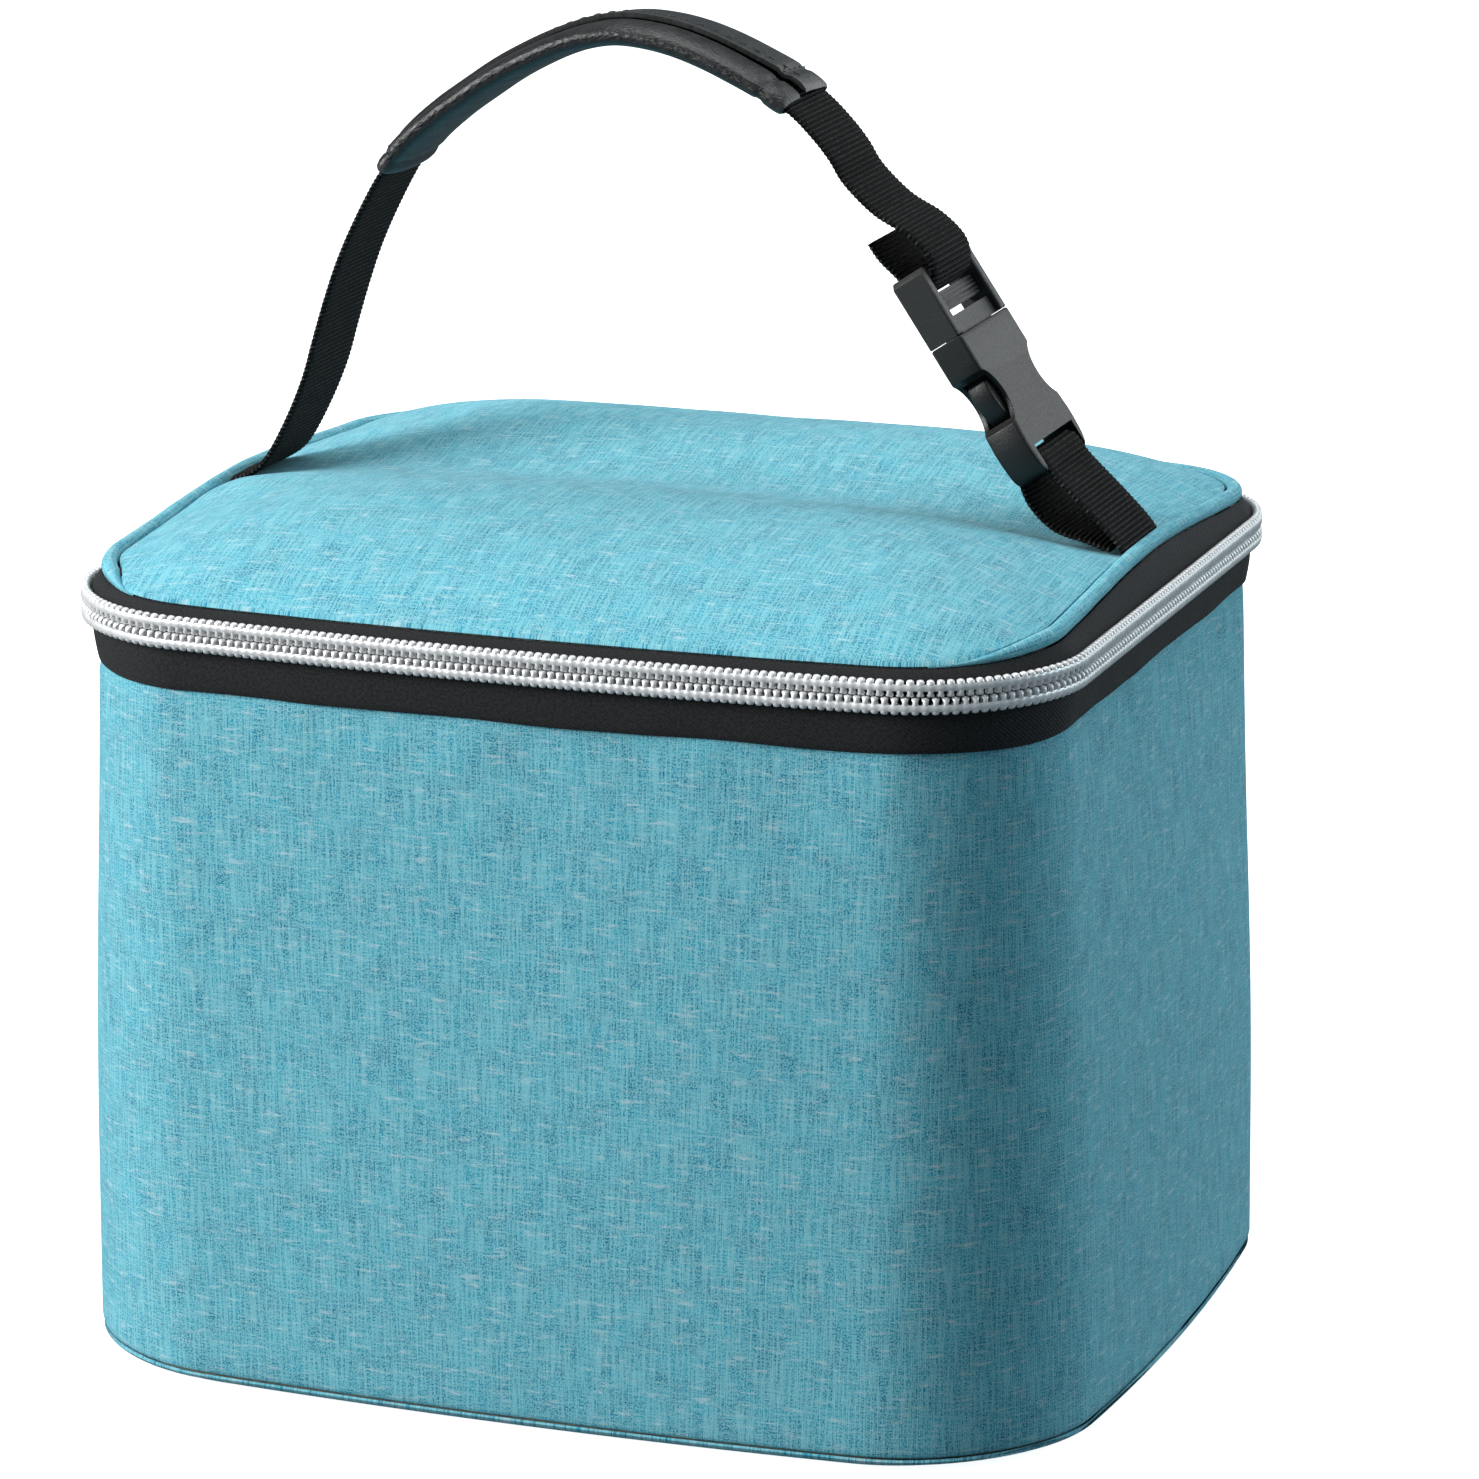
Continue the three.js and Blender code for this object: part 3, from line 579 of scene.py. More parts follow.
def cell_foam():
    """Closed-cell foam, off-white."""
    s = Surface("foam", 0.9)
    cloud = s.noise(s.in_space(70), 3.0)
    s.colour(s.mottle(cloud, (0.74, 0.74, 0.70), (0.86, 0.86, 0.83)))
    s.bump((s.cells(s.in_space(900), "F1"), 0.25))
    return s.material


def grey_board():
    """Pressed fibre board, with flecks."""
    s = Surface("board", 0.88)
    fleck = s.noise(s.in_space(700), 4.0, 0.7)
    s.colour(s.mix(s.level(fleck, 0.35, 0.65), (0.33, 0.27, 0.19), (0.48, 0.40, 0.29)))
    s.bump((fleck, 0.12))
    return s.material


def bound_edge():
    """Folded grosgrain tape round the mouth."""
    s = Surface("binding", 0.82, Sheen_Weight=0.15)
    grain = s.noise(s.place((1300, 1300, 1)), 2.0)
    s.colour(s.mottle(grain, (0.014, 0.015, 0.016), (0.030, 0.032, 0.034)))
    s.bump((s.bars(900), 0.12), (grain, 0.06))
    return s.material


def sewing_thread():
    """Bonded black thread, with its twist."""
    s = Surface("sewing_thread", 0.5, Specular_IOR_Level=0.5)
    twist = s.bars(1800, turn=math.radians(40), on_mesh=False)
    s.colour(s.mix(twist, (0.012, 0.012, 0.013), (0.05, 0.05, 0.052)))
    s.bump((twist, 0.05))
    return s.material


MATERIALS = {
    "shell_fabric": melange_fabric(), "zip_tape": black_tape(), "zip_teeth": silver_teeth(),
    "zip_metal": plated_metal(), "webbing": black_webbing(), "grip_leather": black_leather(),
    "buckle_plastic": moulded_plastic(), "foil_liner": crinkled_foil(), "foam": cell_foam(),
    "board": grey_board(), "binding": bound_edge(), "thread": sewing_thread(),
}


def add_piece(piece, slot, body, *nodes, material=None):
    """Gives a piece a material, named by material or else by slot, and sets it on its body in place of CAD
    nodes.
    """
    piece.data.materials.clear()
    piece.data.materials.append(MATERIALS[material or slot])
    if nodes:
        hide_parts(*nodes)
    if body:
        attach(piece, body)
    return piece


# ---------------- camera, lights, stage
PHOTO_VIEW = direction(19.78, 15.01)
CAMERA_TARGET = Vector((0.0127, 0, 0.1267))
CAMERA_DISTANCE = 1.4887
FOCAL_LENGTH = 165.35
LIT_POINT = Vector((0, 0, 0.12))
FLOOR_HALF, FLOOR_HEIGHT = 9000, -0.2    # millimetres


def add_camera():
    data = bpy.data.cameras.new("camera")
    data.lens, data.sensor_width, data.clip_end = FOCAL_LENGTH, 36, 60
    camera = add_object("camera", data)
    camera.location = CAMERA_TARGET + PHOTO_VIEW * CAMERA_DISTANCE
    camera.rotation_euler = PHOTO_VIEW.to_track_quat("Z", "Y").to_euler()
    bpy.context.scene.camera = camera


def add_softbox(name, azimuth, elevation, distance, size, power, colour=(1, 1, 1)):
    """A square light that faces the bag, with its distance and size in metres and its power in watts."""
    data = bpy.data.lights.new(name, "AREA")
    data.shape, data.size, data.energy, data.color = "SQUARE", size, power, colour
    light = add_object(name, data)
    back = direction(azimuth, elevation)
    light.location = LIT_POINT + back * distance
    light.rotation_euler = back.to_track_quat("Z", "Y").to_euler()


def add_lights():
    world = bpy.data.worlds.new("studio")
    world.use_nodes = True
    background = world.node_tree.nodes["Background"]
    background.inputs["Color"].default_value = (0.76, 0.98, 1.09, 1)
    background.inputs["Strength"].default_value = 0.18
    bpy.context.scene.world = world
    bpy.context.scene.view_settings.view_transform = "Standard"
    add_softbox("key", -50, 26, 1.9, 1.1, 46)
    add_softbox("top", 170, 74, 1.8, 1.4, 18)
    add_softbox("rim", 118, 20, 1.9, 0.9, 10, (0.8, 0.98, 1.06))
    add_softbox("back", 160, 12, 2.6, 1.8, 12)


def add_floor():
    """A wide floor that glows, so that it looks almost white, but throws no light up at the bag."""
    s = Surface("studio_floor", 0.9)
    tone = s.noise(s.in_space(2), 2.0)
    s.colour(s.mix(tone, (0.86, 0.86, 0.86), (0.88, 0.88, 0.88)))
    s.shader.inputs["Emission Color"].default_value = (1, 1, 1, 1)
    s.shader.inputs["Emission Strength"].default_value = 0.9
    square = [(-1, -1), (1, -1), (1, 1), (-1, 1)]
    corners = [(x * FLOOR_HALF, y * FLOOR_HALF, FLOOR_HEIGHT) for x, y in square]
    floor = make_object("studio_floor", corners, [(0, 1, 2, 3)])
    floor.data.materials.append(s.material)
    floor.visible_diffuse = floor.visible_glossy = False


# ---------------- walls and base
MEASURED_AT = 60.0               # the height at which the wall's length is taken


def wall_points(heights, depth):
    """Points of the wall, depth under its soft outer surface; columns are stations of RING."""
    z = np.asarray(heights, float)[:, None]
    x, y = outline(RING, z)
    base = np.stack([x, y, np.broadcast_to(z, x.shape)], -1)
    along = np.roll(base, -1, 1) - np.roll(base, 1, 1)
    out = unit(np.stack([along[..., 1], -along[..., 0], np.zeros_like(x)], -1))
    out = turned_to(base, out)
    free = smooth(WALL_TOP - z, 0.2, 5)
    belly = np.sin(np.pi * np.clip(z / WALL_TOP, 0, 1))
    sag = 0.9 * belly
    dents = 1.1 * wobble(base, (75, 75, 95), 3.7) * belly
    puckers = 1.25 * wobble(base, (14, 14, 60), 9.1) * np.exp(-(WALL_TOP - z) / 16)
    fine = 0.5 * wobble(base, (6, 6, 30), 5.3) * np.exp(-(WALL_TOP - z) / 7)
    hem = 0.35 * wobble(base, (16, 16, 12), 1.9) * np.exp(-z / 9)
    return base + out * (free * (sag + dents + puckers + fine + hem) - depth)[..., None]


def ring_uv(heights):
    """Distances along the outline and up the wall, with one more column where it closes."""
    loop = np.stack(outline(RING, MEASURED_AT), 1)
    run = distances(np.vstack([loop, loop[:1]]))
    u, v = np.meshgrid(run, np.asarray(heights, float))
    return np.stack([u, v], -1), run[-1]


def disc(count):
    """A square grid that fills the outline: where each point lies round it, and its share of the way out."""
    line = np.linspace(-1, 1, count)
    s, t = np.meshgrid(line, line)
    share = np.maximum(np.abs(s), np.abs(t))
    s, t = s / np.maximum(share, 1e-6), t / np.maximum(share, 1e-6)
    run = np.select([s <= -1 + 1e-9, t <= -1 + 1e-9, s >= 1 - 1e-9], [1 - t, 3 + s, 5 + t], 7 - s)
    middles = [CORNER_STEPS / 2 + k * (len(FINE) / 4) for k in range(5)]
    return np.interp(run, [0, 2, 4, 6, 8], middles) % len(FINE), share


def rim(place, height, inset=0.0):
    """X and Y of the outline at places counted in fine stations."""
    x, y = outline(FINE, height, inset)
    stations = np.arange(len(FINE) + 1)
    return np.stack([np.interp(place, stations, np.append(v, v[0])) for v in (x, y)], -1)


def flat_sheet(name, bottom, top, inset, count, lip=0.0, crease=0.0):
    """A sheet that fills the base between two heights, with an upturned lip or creases if asked."""
    place, share = disc(count)
    xy = rim(place, bottom, inset) * share[..., None]
    z = np.full(share.shape, float(top)) + lip * smooth(share, 0.985, 1.0)
    upper = np.concatenate([xy, z[..., None]], -1)
    if crease:
        upper[..., 2] += crease * (0.5 + 0.5 * wobble(upper, (24, 24, 1), 2.2)) * (1 - share**6)
    lower = upper.copy()
    lower[..., 2] -= top - bottom
    return shell(name, upper, lower, xy)


def add_walls():
    tucked = [(2.75, 1.1), (2.85, 0.55), (3.2, 0.2)]         # height and inset of the rows turned under
    hem = [z for z, _ in tucked]
    heights = [*hem, *np.linspace(4.0, WALL_TOP - 2.5, 66), WALL_TOP - 1.2, WALL_TOP - 0.4]
    outer = wall_points(heights, 0)
    for row, (z, inset) in enumerate(tucked):
        outer[row] = wall_points([z], inset)[0]
    inner = wall_points(heights, FABRIC)
    inner[:len(hem)] = wall_points(hem, FABRIC + 0.9)
    uv, length = ring_uv(heights)
    wrap = shell("body_shell", outer, inner, uv, wrap=True)
    add_piece(wrap, "shell_fabric", "bag_base", "body_wrap")

    levels = np.linspace(FOAM_FLOOR, FOAM_TOP, 40)
    faces = [wall_points(levels, depth) for depth in FOAM_DEPTH]
    foam = shell("wall_foam", *faces, ring_uv(levels)[0], wrap=True)
    add_piece(foam, "foam", "bag_base", "side_foam")

    levels = np.linspace(LINER_FLOOR + 1.0, FOAM_TOP, 60)
    face, back = [wall_points(levels, depth) for depth in LINER_DEPTH]
    loose = np.sin(np.pi * np.linspace(0.02, 0.98, len(levels)))[:, None]
    crinkle = 0.9 * (0.5 + 0.5 * wobble(face, (16, 16, 22), 4.4)) * loose
    pull = unit(face * (1, 1, 0)) * crinkle[..., None]
    uv, length = ring_uv(levels)
    liner = shell("wall_lining", face - pull, back - pull, uv, wrap=True)
    add_piece(liner, "foil_liner", "bag_base", "side_liner")


def add_base():
    base = flat_sheet("base_cover", 0.0, BASE_TOP, 0.35, 70, lip=1.4)
    add_piece(base, "shell_fabric", "bag_base", "base_panel")
    low, high = low_high("base_foam", 2)
    foam = flat_sheet("base_padding", low, high, 2.2, 50)
    add_piece(foam, "foam", "bag_base", "base_foam")
    low, high = low_high("base_liner", 2)
    liner = flat_sheet("base_lining", low, high, 8.6, 90, crease=0.7)
    add_piece(liner, "foil_liner", "bag_base", "base_liner")
    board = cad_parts["base_board"]
    board.data.materials.clear()
    board.data.materials.append(MATERIALS["board"])


def ring_section(name, centre_inset, centre_z, half_width, half_height, samples=420, around=14):
    """A closed band round the mouth with a rounded, slightly uneven section."""
    s = np.linspace(0, LOOP.length, samples, endpoint=False)
    middle, _, out = LOOP.at(s)
    centre = np.column_stack([middle - out * centre_inset, np.full(samples, centre_z)])
    centre[:, 2] += 0.12 * wobble(centre, 18, 6.6)
    angle = full_turn(around)[:, None, None]
    across = squared(np.cos(angle), 0.55) * in_3d(out) * half_width
    points = centre + (across + squared(np.sin(angle), 0.55) * UP * half_height)
    j, i = quads(around, samples, True, True)
    faces = ((j % around) * samples + i % samples).tolist()
    girth = np.linspace(0, 4 * (half_width + half_height), around + 1)
    uv = np.stack([np.append(s, LOOP.length)[i], girth[j]], -1).reshape(-1, 2)
    return make_object(name, points.reshape(-1, 3), faces, uv)


def add_bindings():
    low, high = low_high("mouth_binding", 2)
    band = ring_section("mouth_trim", 4.9, (low + high) / 2, 3.6, (high - low) / 2)
    add_piece(band, "binding", "bag_base", "mouth_binding")
    low, high = low_high("lid_binding", 2)
    band = ring_section("lid_trim", 3.2, (low + high) / 2, 1.6, (high - low) / 2)
    add_piece(band, "binding", "lid", "lid_binding")


# ---------------- zip
def tape_points(s, is_upper, shares):
    """Rows of points from a tape's edge at the teeth to its seam, on its outer face."""
    middle, _, out = ZIP.at(s)
    part = parting(middle)
    near = ZIP_HEIGHT + (TAPE_GAP + part if is_upper else -TAPE_GAP - part)
    uneven = 0.5 + 0.5 * wobble(in_3d(middle), 24, 2.4)
    far = seam_height(middle) - 0.1 if is_upper else WALL_TOP - 0.4 - 1.1 * uneven
    rows = []
    for share in shares:
        z = near + (far - near) * share
        offset = TAPE_OUT + (SEWN_AT[is_upper] - TAPE_OUT) * share + 0.35 * math.sin(math.pi * share)
        wave = 0.22 * wobble(np.column_stack([middle, z]), 11, 7.7) * share
        rows.append(np.column_stack([middle + out * (offset + wave)[:, None], z]))
    return np.array(rows), out


def add_tape(name, is_upper, body, node):
    s = np.linspace(0, ZIP.length, 520)
    shares = np.linspace(0, 1, 9)
    face, out = tape_points(s, is_upper, shares)
    back = face - in_3d(out) * TAPE
    u, v = np.meshgrid(s, shares * 12)
    tape = shell(name, face, back, np.stack([u, v], -1))
    add_piece(tape, "zip_tape", body, node)


def tooth_template(around=8):
    """One tooth, a flat loop of monofilament: rows of (along, out, up from the row's own edge)."""
    turn = np.linspace(0, math.pi, 7)
    head = [(3.45 - 0.6 * math.cos(a), 0.86 - 0.6 * math.sin(a)) for a in turn]
    heel = [(3.45 + 0.6 * math.cos(a), 2.7 + 0.6 * math.sin(a)) for a in turn]
    path = np.array([*head, (4.05, 1.25), (4.05, 1.9), *heel, (2.85, 1.7), (2.85, 1.2)])
    ahead = unit(np.roll(path, -1, 0) - np.roll(path, 1, 0))
    normal = np.stack([ahead[:, 1], -ahead[:, 0]], 1)
    wide = 0.54 + 0.28 * smooth(-path[:, 1], -0.75, -0.35) + 0.24 * smooth(path[:, 1], 1.2, 1.6)
    thick = 0.44 - 0.18 * smooth(-path[:, 1], -0.9, -0.4)
    angle = full_turn(around)
    along = wide[:, None] * np.cos(angle)
    plane = path[:, None] + normal[:, None] * (thick[:, None] * np.sin(angle))[..., None]
    return np.concatenate([along[..., None], plane], -1)


def add_teeth(name, is_upper, body, node):
    """A row of teeth, and the sewing thread that holds them to the tape."""
    template = tooth_template()
    rows, around = template.shape[:2]
    count = int(ZIP.length / TOOTH_PITCH) - 1
    s = (np.arange(count) + FIRST_TOOTH[is_upper]) * TOOTH_PITCH
    middle, along, out = ZIP.at(s)
    upward = 1 if is_upper else -1
    zero = ZIP_HEIGHT + upward * parting(middle)
    flat = template.reshape(-1, 3)
    xy = middle[:, None] + along[:, None] * flat[None, :, :1] + out[:, None] * flat[None, :, 1:2]
    z = zero[:, None] + upward * flat[None, :, 2]
    points = np.concatenate([xy, z[..., None]], -1).reshape(-1, 3)
    j, i = quads(rows, around, True, True)
    one = (j % rows) * around + i % around
    faces = (one[None] + (np.arange(count) * rows * around)[:, None, None]).reshape(-1, 4)
    thread_points, thread_faces = thread_band(is_upper, len(points))
    teeth = make_object(name, np.vstack([points, thread_points]), faces.tolist() + thread_faces)
    add_piece(teeth, "zip_teeth", body, node)


def thread_band(is_upper, first, around=8):
    """The plated thread sewn over one row of teeth: a low ridge that swells over each tooth."""
    s = np.arange(0, ZIP.length, TOOTH_PITCH / 6)
    middle, _, out = ZIP.at(s)
    swell = 0.07 * np.cos(2 * math.pi * (s / TOOTH_PITCH - FIRST_TOOTH[is_upper]))
    angle = full_turn(around)
    offset = THREAD_AT[0] + (THREAD_HALF[0] + swell)[:, None] * np.sin(angle)
    height = THREAD_AT[1] + THREAD_HALF[1] * np.cos(angle)
    z = ZIP_HEIGHT + (1 if is_upper else -1) * (parting(middle)[:, None] + height)
    xy = middle[:, None] + out[:, None] * offset[..., None]
    points = np.concatenate([xy, z[..., None]], -1).reshape(-1, 3)
    return points, rod_faces(len(s), around, first)


def add_hinge():
    """The strip of shell fabric across the back that the lid turns on."""
    x_end = low_high("rear_hinge_panel", 0)[1]
    low, high = low_high("rear_hinge_panel", 2)
    x, z = np.meshgrid(np.linspace(-x_end, x_end, 90), np.linspace(low, high, 14))
    face = np.stack([x, np.full_like(x, HALF_DEPTH + 1.6), z], -1)
    face[..., 1] += 0.25 * wobble(face, (20, 20, 9), 8.1) * np.sin(np.pi * (z - low) / (high - low))
    back = face - np.array([0, 1.15, 0])
    hinge = shell("hinge_strip", face, back, np.stack([x, z], -1))
    add_piece(hinge, "shell_fabric", None, "rear_hinge_panel")
    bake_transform(hinge)


def add_zip():
    add_tape("tape_lower", False, "bag_base", "zip_tape_lower")
    add_tape("tape_upper", True, "lid", "zip_tape_upper")
    add_teeth("teeth_lower", False, "bag_base", "zip_coil_lower")
    add_teeth("teeth_upper", True, "lid", "zip_coil_upper")
    add_hinge()
    soften("zip_slider", "slider_body", 0.28, "zip_metal", "slider")
    soften("pull_tab", "slider_tab", 0.22, "zip_metal", "tab")


LARGE_FACE = 14                  # faces with more square millimetres than this are shaded flat


def soften(node, name, width, slot, body):
    """A hard CAD piece with its edges rounded, width millimetres wide."""
    made = add_object(name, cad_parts[node].data.copy())
    work = bmesh.new()
    work.from_mesh(made.data)
    bmesh.ops.remove_doubles(work, verts=work.verts, dist=1e-6)
    bmesh.ops.dissolve_limit(work, angle_limit=math.radians(2), verts=work.verts, edges=work.edges)
    work.to_mesh(made.data)
    work.free()
    bevel = made.modifiers.new("edges", "BEVEL")
    bevel.width, bevel.segments, bevel.angle_limit = width * MM, 3, math.radians(28)
    bevel.use_clamp_overlap = True
    bpy.context.view_layer.update()
    evaluated = made.evaluated_get(bpy.context.evaluated_depsgraph_get())
    made.data = bpy.data.meshes.new_from_object(evaluated)
    made.modifiers.clear()
    close_up(made.data)
    made.data.set_sharp_from_angle(angle=math.radians(35))
    for face in made.data.polygons:
        face.use_smooth = face.area < LARGE_FACE * MM * MM
    add_piece(made, slot, body, node)


# ---------------- lid
PIPING_RUN = (
    LOOP.where(HALF_WIDTH - 0.72 * CORNER, -HALF_DEPTH + 0.04 * CORNER),
    LOOP.length + LOOP.where(-HALF_WIDTH + 0.62 * CORNER, -HALF_DEPTH + 0.08 * CORNER),
)


def piped_share(run):
    """1 where the seam is piped, 0 along the front; the cord tapers slowly at the right corner."""
    run = np.where(run < PIPING_RUN[0], run + LOOP.length, run)
    return smooth(run - PIPING_RUN[0], 0, 30) * smooth(PIPING_RUN[1] - run, 0, 17)


def lid_height(edge, xy, share):
    """Height of the lid's outer surface: crown, valley between the anchors, and the pulls beside them."""
    x, y = xy[..., 0], xy[..., 1]
    dip = VALLEY_DEPTH * bell(y, 0, VALLEY_REACH) * (1 - share**4)
    top = seam_height(edge) + FABRIC
    z = top + (LID_CROWN - top) * (1 - share**LID_FULLNESS) - dip
    inside = 1 - smooth(share, 0.9, 1.0)
    pull = bell(y, -26 + 0.1 * x, 9) * smooth(x, 15, 80) * 0.8 - bell(y, -6, 11) * smooth(x, 45, 92) * 1.4
    pull += bell(y, -22, 11) * smooth(-x, 40, 90) * 1.4
    points = np.stack([x, y, 0 * x], -1)
    soft = 1.1 * wobble(points, (58, 46, 1), 2.9) + 0.22 * wobble(points, (17, 15, 1), 6.3)
    edge_pucker = 0.25 * wobble(points, (8, 8, 1), 8.8) * smooth(share, 0.8, 0.97)
    return z + inside * (pull + soft + edge_pucker)


def lid_sheet(name, depths, inset, count, turned_up=0.0, crease=0.0):
    """A layer of the lid between two depths under its outer surface."""
    place, share = disc(count)
    edge = rim(place, ZIP_HEIGHT)
    piped = piped_share(LOOP.run[:-1])
    xy = rim(place, ZIP_HEIGHT, inset[0] + (inset[1] - inset[0]) * piped) * share[..., None]
    real_share = np.linalg.norm(xy, axis=-1) / np.linalg.norm(edge, axis=-1)
    z = lid_height(edge, xy, real_share)
    z += turned_up * smooth(share, 0.95, 1.0)
    surface = np.concatenate([xy, z[..., None]], -1)
    upper, lower = surface.copy(), surface.copy()
    upper[..., 2] -= depths[0]
    lower[..., 2] -= depths[1]
    if crease:
        fold = crease * (0.5 + 0.5 * wobble(upper, (21, 21, 1), 1.4)) * (1 - share**8)
        upper[..., 2] -= fold
        lower[..., 2] -= fold
    return shell(name, upper, lower, xy)


def add_lid():
    panel = lid_sheet("lid_cover", (0, FABRIC), (0.6, 2 * PIPING_RADIUS + 0.6), 130)
    add_piece(panel, "shell_fabric", "lid", "lid_panel")
    foam = lid_sheet("lid_padding", FOAM_DEPTH, (6.0, 6.0), 80)
    add_piece(foam, "foam", "lid", "lid_foam")
    liner = lid_sheet("lid_lining", LINER_DEPTH, (6.0, 6.0), 110, turned_up=2.6, crease=0.8)
    add_piece(liner, "foil_liner", "lid", "lid_liner")


def add_piping():
    """A fabric-covered cord round the sides and back of the lid, which dies away at the front corners."""
    s = np.linspace(*PIPING_RUN, 620)
    middle, _, out = LOOP.at(s)
    radius = PIPING_RADIUS * (0.12 + 0.88 * piped_share(s))
    z = seam_height(middle) + radius + 0.1
    centre = np.column_stack([middle - out * (radius + 0.1)[:, None], z])
    radius = radius * (1 + 0.05 * wobble(centre, 9, 3.1))
    piping = tube("lid_cord_edge", centre, out, radius, 18)
    add_piece(piping, "shell_fabric", "lid", "lid_piping")


# ---------------- webbing and handle
def beside_buckle(along, out):
    """X and Z of a point given along the buckle and out from its upper face."""
    down = np.array([math.cos(BUCKLE_TILT), -math.sin(BUCKLE_TILT)])
    up = np.array([math.sin(BUCKLE_TILT), math.cos(BUCKLE_TILT)])
    return BUCKLE_TOP + down * along + up * out


HANDLE_LEFT = [
    (-99, 180.2), (-94.3, 183.8), (-89.2, 192.6), (-84.9, 202.4), (-82.1, 211.6),
    (-79.2, 220.8), (-75.9, 229.9), (-71.6, 239.1), (-66.5, 248.3), (-61.2, 255.4),
]
HANDLE_TOP = [
    (-60, 256.7), (-54.1, 261.8), (-47, 267), (-40, 271.8), (-33, 275.7), (-26, 279),
    (-19.1, 281.4), (-12.2, 282.6), (-5.4, 282.3), (1.5, 281), (8.3, 278.8), (15.1, 275.9),
    (21.9, 272.6), (28.7, 268.3), (34, 263.3), (37.7, 258.9), (41, 254),
]
INTO_BUCKLE = [
    (-15, 0.4), (-8, 4), (-2, 5.6), (2, 4.9), (4.6, 2.6), (5.1, 0), (4.2, -1.5), (2, -2.4),
    (-2, -3.4), (-6, -4.4), (-10, -4.6),
]
ROUND_BAR = [(53, 3.6), (49.5, 3.3), (47.2, 2.8), (46.1, 1.4), (46.1, -1.4), (47.2, -2.8), (49.5, -3.4)]


def strap(name, points, body, node, share=(0, 1)):
    """Ribbed webbing along points given as X and Z, from one share of its length to another."""
    line, ahead, run = smooth_line(points, RIB_PITCH / 5)
    first, last = (int(end * (len(run) - 1)) for end in share)
    kept = slice(first, last + 1)
    line, ahead, run = line[kept], ahead[kept], run[kept]
    normal = np.stack([-ahead[:, 1], ahead[:, 0]], 1)
    across = np.array([-1, -0.97, -0.9, -0.6, -0.3, 0, 0.3, 0.6, 0.9, 0.97, 1]) * WEBBING_WIDTH / 2
    thin = np.array([0.35, 0.75, 1, 1, 1, 1, 1, 1, 1, 0.75, 0.35]) * WEBBING / 2
    rib = -0.16 * np.cos(2 * math.pi * run / RIB_PITCH)
    cup = 0.5 * (across / (WEBBING_WIDTH / 2)) ** 2
    faces = []
    for side in (1, -1):
        lift = side * (thin[:, None] + rib * (thin[:, None] / thin.max())) - 0.4 * cup[:, None]
        x = line[:, 0] + normal[:, 0] * lift
        z = line[:, 1] + normal[:, 1] * lift
        y = across[:, None] * (1 + 0.006 * np.cos(2 * math.pi * run / RIB_PITCH))
        faces.append(np.stack([x, y, z], -1))
    u, v = np.meshgrid(run, across)
    made = shell(name, faces[0], faces[1], np.stack([v, u], -1))
    return add_piece(made, "webbing", body, node)


def add_straps():
    """The left strap is cut into a foot and a riser; these and the right loop stay in place on no body, and
    the top strap goes on the handle.
    """
    left = [(-102.6, 178.6), *HANDLE_LEFT]
    foot = strap("strap_left", left, None, "handle_webbing_left", (0, STRAP_SPLIT))
    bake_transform(foot)
    riser = strap("strap_riser", left, None, "handle_webbing_left", (STRAP_SPLIT, 1))
    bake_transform(riser)
    top = [*HANDLE_TOP, *[beside_buckle(*p) for p in INTO_BUCKLE]]
    strap("strap_top", top, "handle", "handle_webbing")
    loop = [
        (103, 178.6), (101, 181.2), (96, 186.2), *[beside_buckle(*p) for p in ROUND_BAR],
        (82.8, 187.4), (88, 182.8), (95.2, 180.7), (100.4, 179.2),
    ]
    right = strap("strap_loop", loop, None, "loop_webbing")
    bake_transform(right)


# ---------------- grip
STITCH_LENGTH = 1.9
STITCH_RADIUS = 0.2


def stitches(name, centres, ahead, up, around=8):
    """A row of sewing stitches: short fat capsules that lie on a surface."""
    share = np.array([-1, -0.86, -0.5, 0, 0.5, 0.86, 1])
    along = share * STITCH_LENGTH / 2
    swell = np.array([0.15, 0.62, 0.95, 1, 0.95, 0.62, 0.15]) * STITCH_RADIUS
    arch = (1 - share**2) * 0.1
    angle = full_turn(around)
    points, faces = [], []
    for centre, forward, across, lift in zip(centres, ahead, np.cross(ahead, up), up):
        ring = np.cos(angle)[:, None] * across + np.sin(angle)[:, None] * lift
        line = centre + forward * along[:, None] + lift * arch[:, None]
        faces += rod_faces(len(share), around, len(points) * around * len(share))
        points.append(line[:, None] + ring[None] * swell[:, None, None])
    made = make_object(name, np.concatenate(points).reshape(-1, 3), faces)
    add_piece(made, "grip_leather", "handle", material="thread")


GRIP_PATH = [*HANDLE_LEFT[-2:], *HANDLE_TOP[1:14]]
SEAM_TURN = 0.24                 # how far the flaps' seam lies towards the front, as an angle
SLEEVE_GIRTH = 72


def grip_section(around, gape, groove, depth):
    """Points (across, out) of the sleeve, from the front flap's edge round the underside to the back's."""
    turn = np.linspace(0, 1, around)
    angle = math.pi / 2 + SEAM_TURN + gape + (2 * math.pi - gape - gape) * turn
    across = (GRIP_HALF_WIDTH - depth) * squared(np.cos(angle), 0.86)
    out = (GRIP_HALF_HEIGHT - depth) * squared(np.sin(angle), 0.66)
    front = bell(turn, 0, 0.05) * -0.45
    back = bell(turn, 1, 0.06) * 0.75
    return across * (1 - 0.02 * groove), (out + front + back) * (1 - 0.22 * groove)


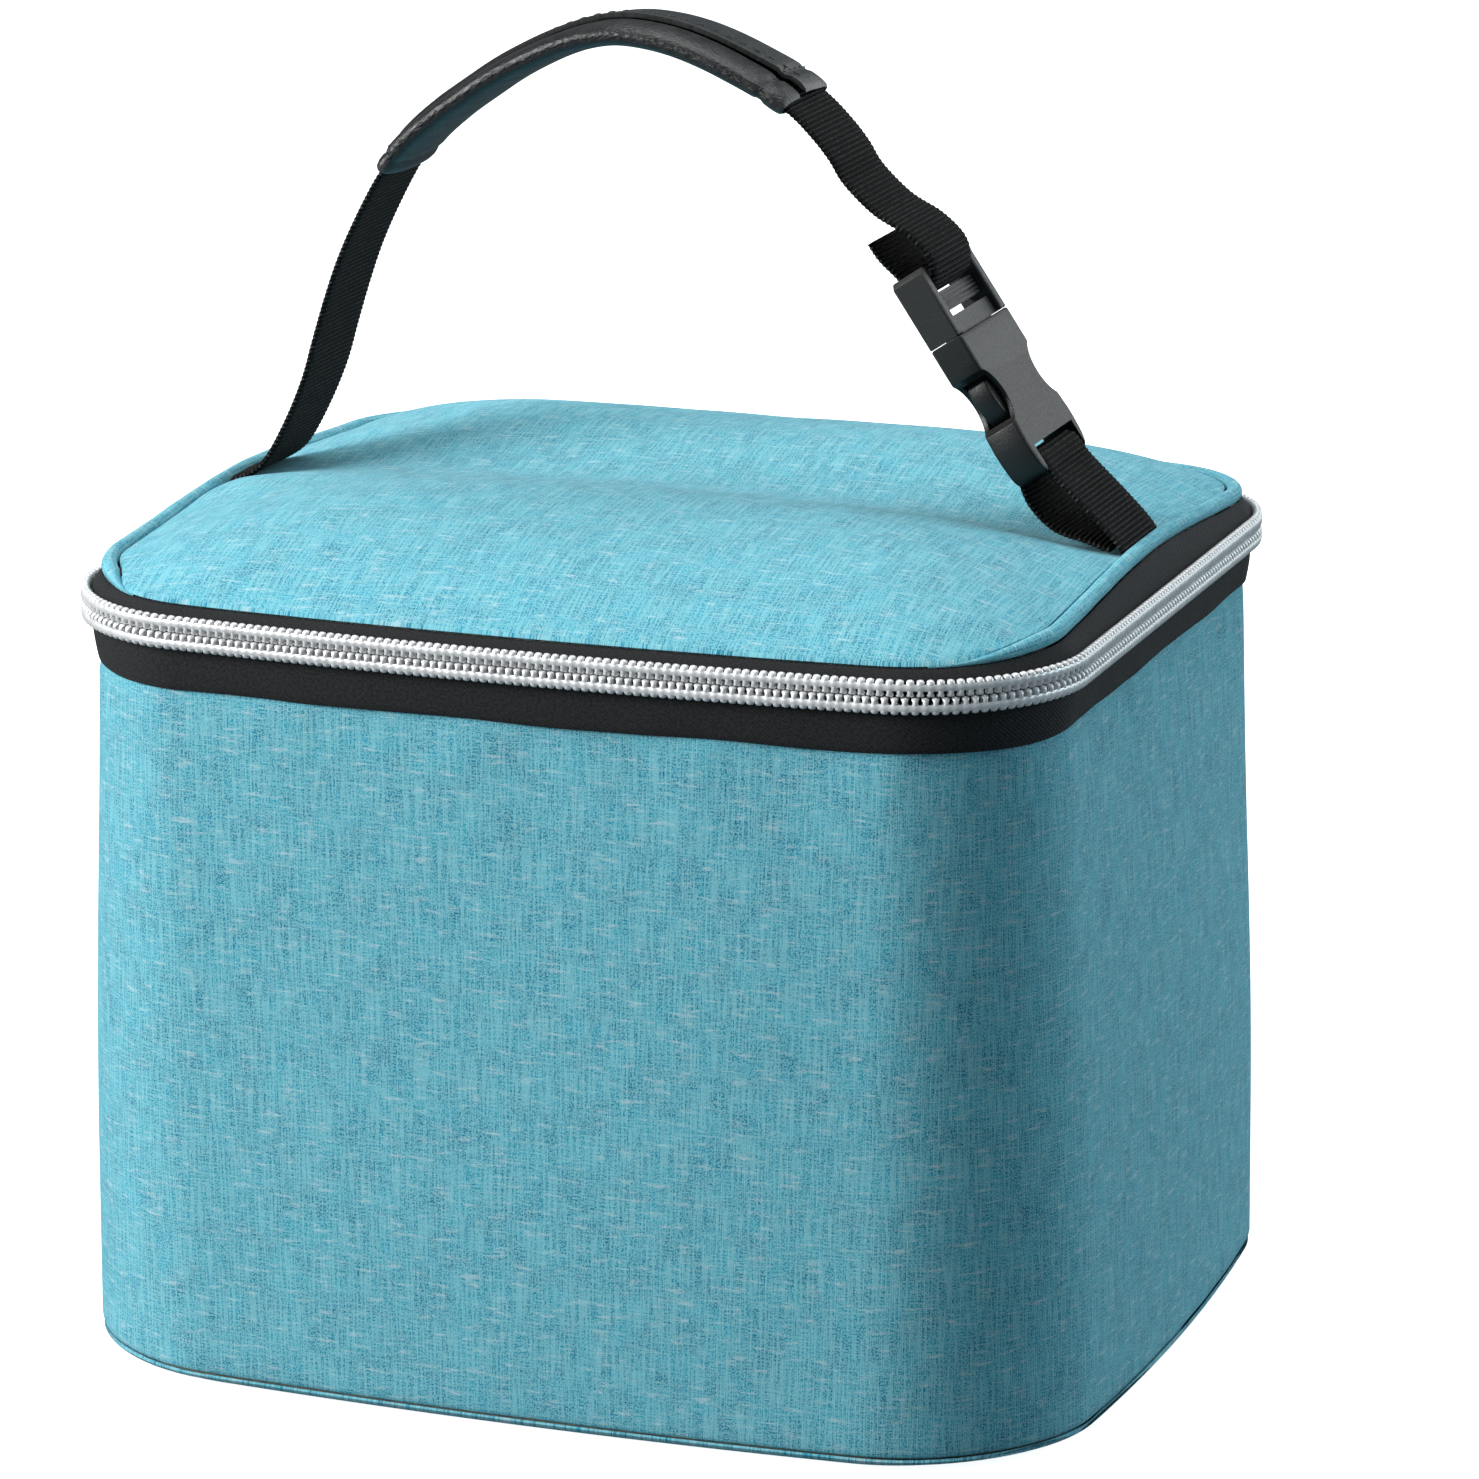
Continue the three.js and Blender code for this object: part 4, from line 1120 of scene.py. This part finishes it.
def grip_rows(depth, around=64):
    """The sleeve's surface, depth under its outer face, its centre line, and the rows' distances along it."""
    line, ahead, run = smooth_line(GRIP_PATH, 1.0)
    keep = (run > 0.02 * run[-1]) & (run < 0.99 * run[-1])
    line, ahead, run = line[keep], ahead[keep], run[keep]
    normal = np.stack([-ahead[:, 1], ahead[:, 0]], 1)
    rows = []
    for centre, up, s in zip(line, normal, run):
        groove = bell(s, run[-1] - 5.5, 0.9) + bell(s, run[0] + 3.0, 0.9)
        gape = 0.03 + 0.05 * smooth(s, run[-1] - 20, run[-1]) + 0.05 * smooth(-s, -run[0] - 14, -run[0])
        across, out = grip_section(around, gape, groove, depth)
        end = smooth(run[-1] - s, 0, 1.6) * smooth(s - run[0], 0, 1.6)
        out = out * (0.86 + 0.14 * end)
        rows.append(np.stack([centre[0] + up[0] * out, across, centre[1] + up[1] * out], -1))
    return np.array(rows), line, run


def surface_normals(points):
    """Outward directions over a grid that goes round a line."""
    normal = unit(np.cross(np.gradient(points, axis=0), np.gradient(points, axis=1)))
    return turned_to(points - points.mean(axis=1, keepdims=True), normal)


def sew(name, surface, where, pitch, lift):
    """Stitches along a row or a column of a surface's grid, raised by lift."""
    path, normals = surface[where], surface_normals(surface)[where]
    centres, forward, _ = smooth_line(path, pitch)
    wanted, known = (np.linspace(0, 1, len(points)) for points in (centres, path))
    outward = unit(np.stack([np.interp(wanted, known, n) for n in normals.T], 1))
    stitches(name, centres + outward * lift, forward, outward)


def add_grip():
    """The leather sleeve: two flaps that meet along the top, with sewn ends and edges."""
    outer, line, run = grip_rows(0.0)
    centres = np.stack([line[:, 0], 0 * line[:, 0], line[:, 1]], -1)[:, None]
    outer = outer + 0.1 * wobble(outer, (16, 9, 16), 4.9)[..., None] * unit(outer - centres)
    inner, *_ = grip_rows(1.15)
    u, v = np.meshgrid(np.linspace(0, SLEEVE_GIRTH, outer.shape[1]), run)
    grip = shell("grip_sleeve", outer, inner, np.stack([u, v], -1))
    add_piece(grip, "grip_leather", "handle", "grip_wrap")
    for name, column in (("grip_stitch_front", 13), ("grip_stitch_back", 61)):
        sew(name, outer, (slice(4, -4), column), 3.3, -0.04)
    for name, row in (("grip_bar_right", len(outer) - 7), ("grip_bar_left", 4)):
        for part, columns in (("front", slice(1, 12)), ("back", slice(49, 63))):
            sew(f"{name}_{part}", outer, (row, columns), 3.0, 0.02)


def add_buckle():
    for node, name, width, body in (
        ("buckle_female", "buckle_socket", 0.12, "strap_anchor"),
        ("buckle_male", "buckle_plug", 0.12, "handle"),
        ("latch_arm_front", "latch_front", 0.35, "arm_front"),
        ("latch_arm_back", "latch_back", 0.35, "arm_back"),
    ):
        soften(node, name, width, "buckle_plastic", body)


# ---------------- the whole bag
add_camera()
add_lights()
add_floor()
add_base()
add_walls()
add_bindings()
add_zip()
add_lid()
add_piping()
add_straps()
add_grip()
add_buckle()
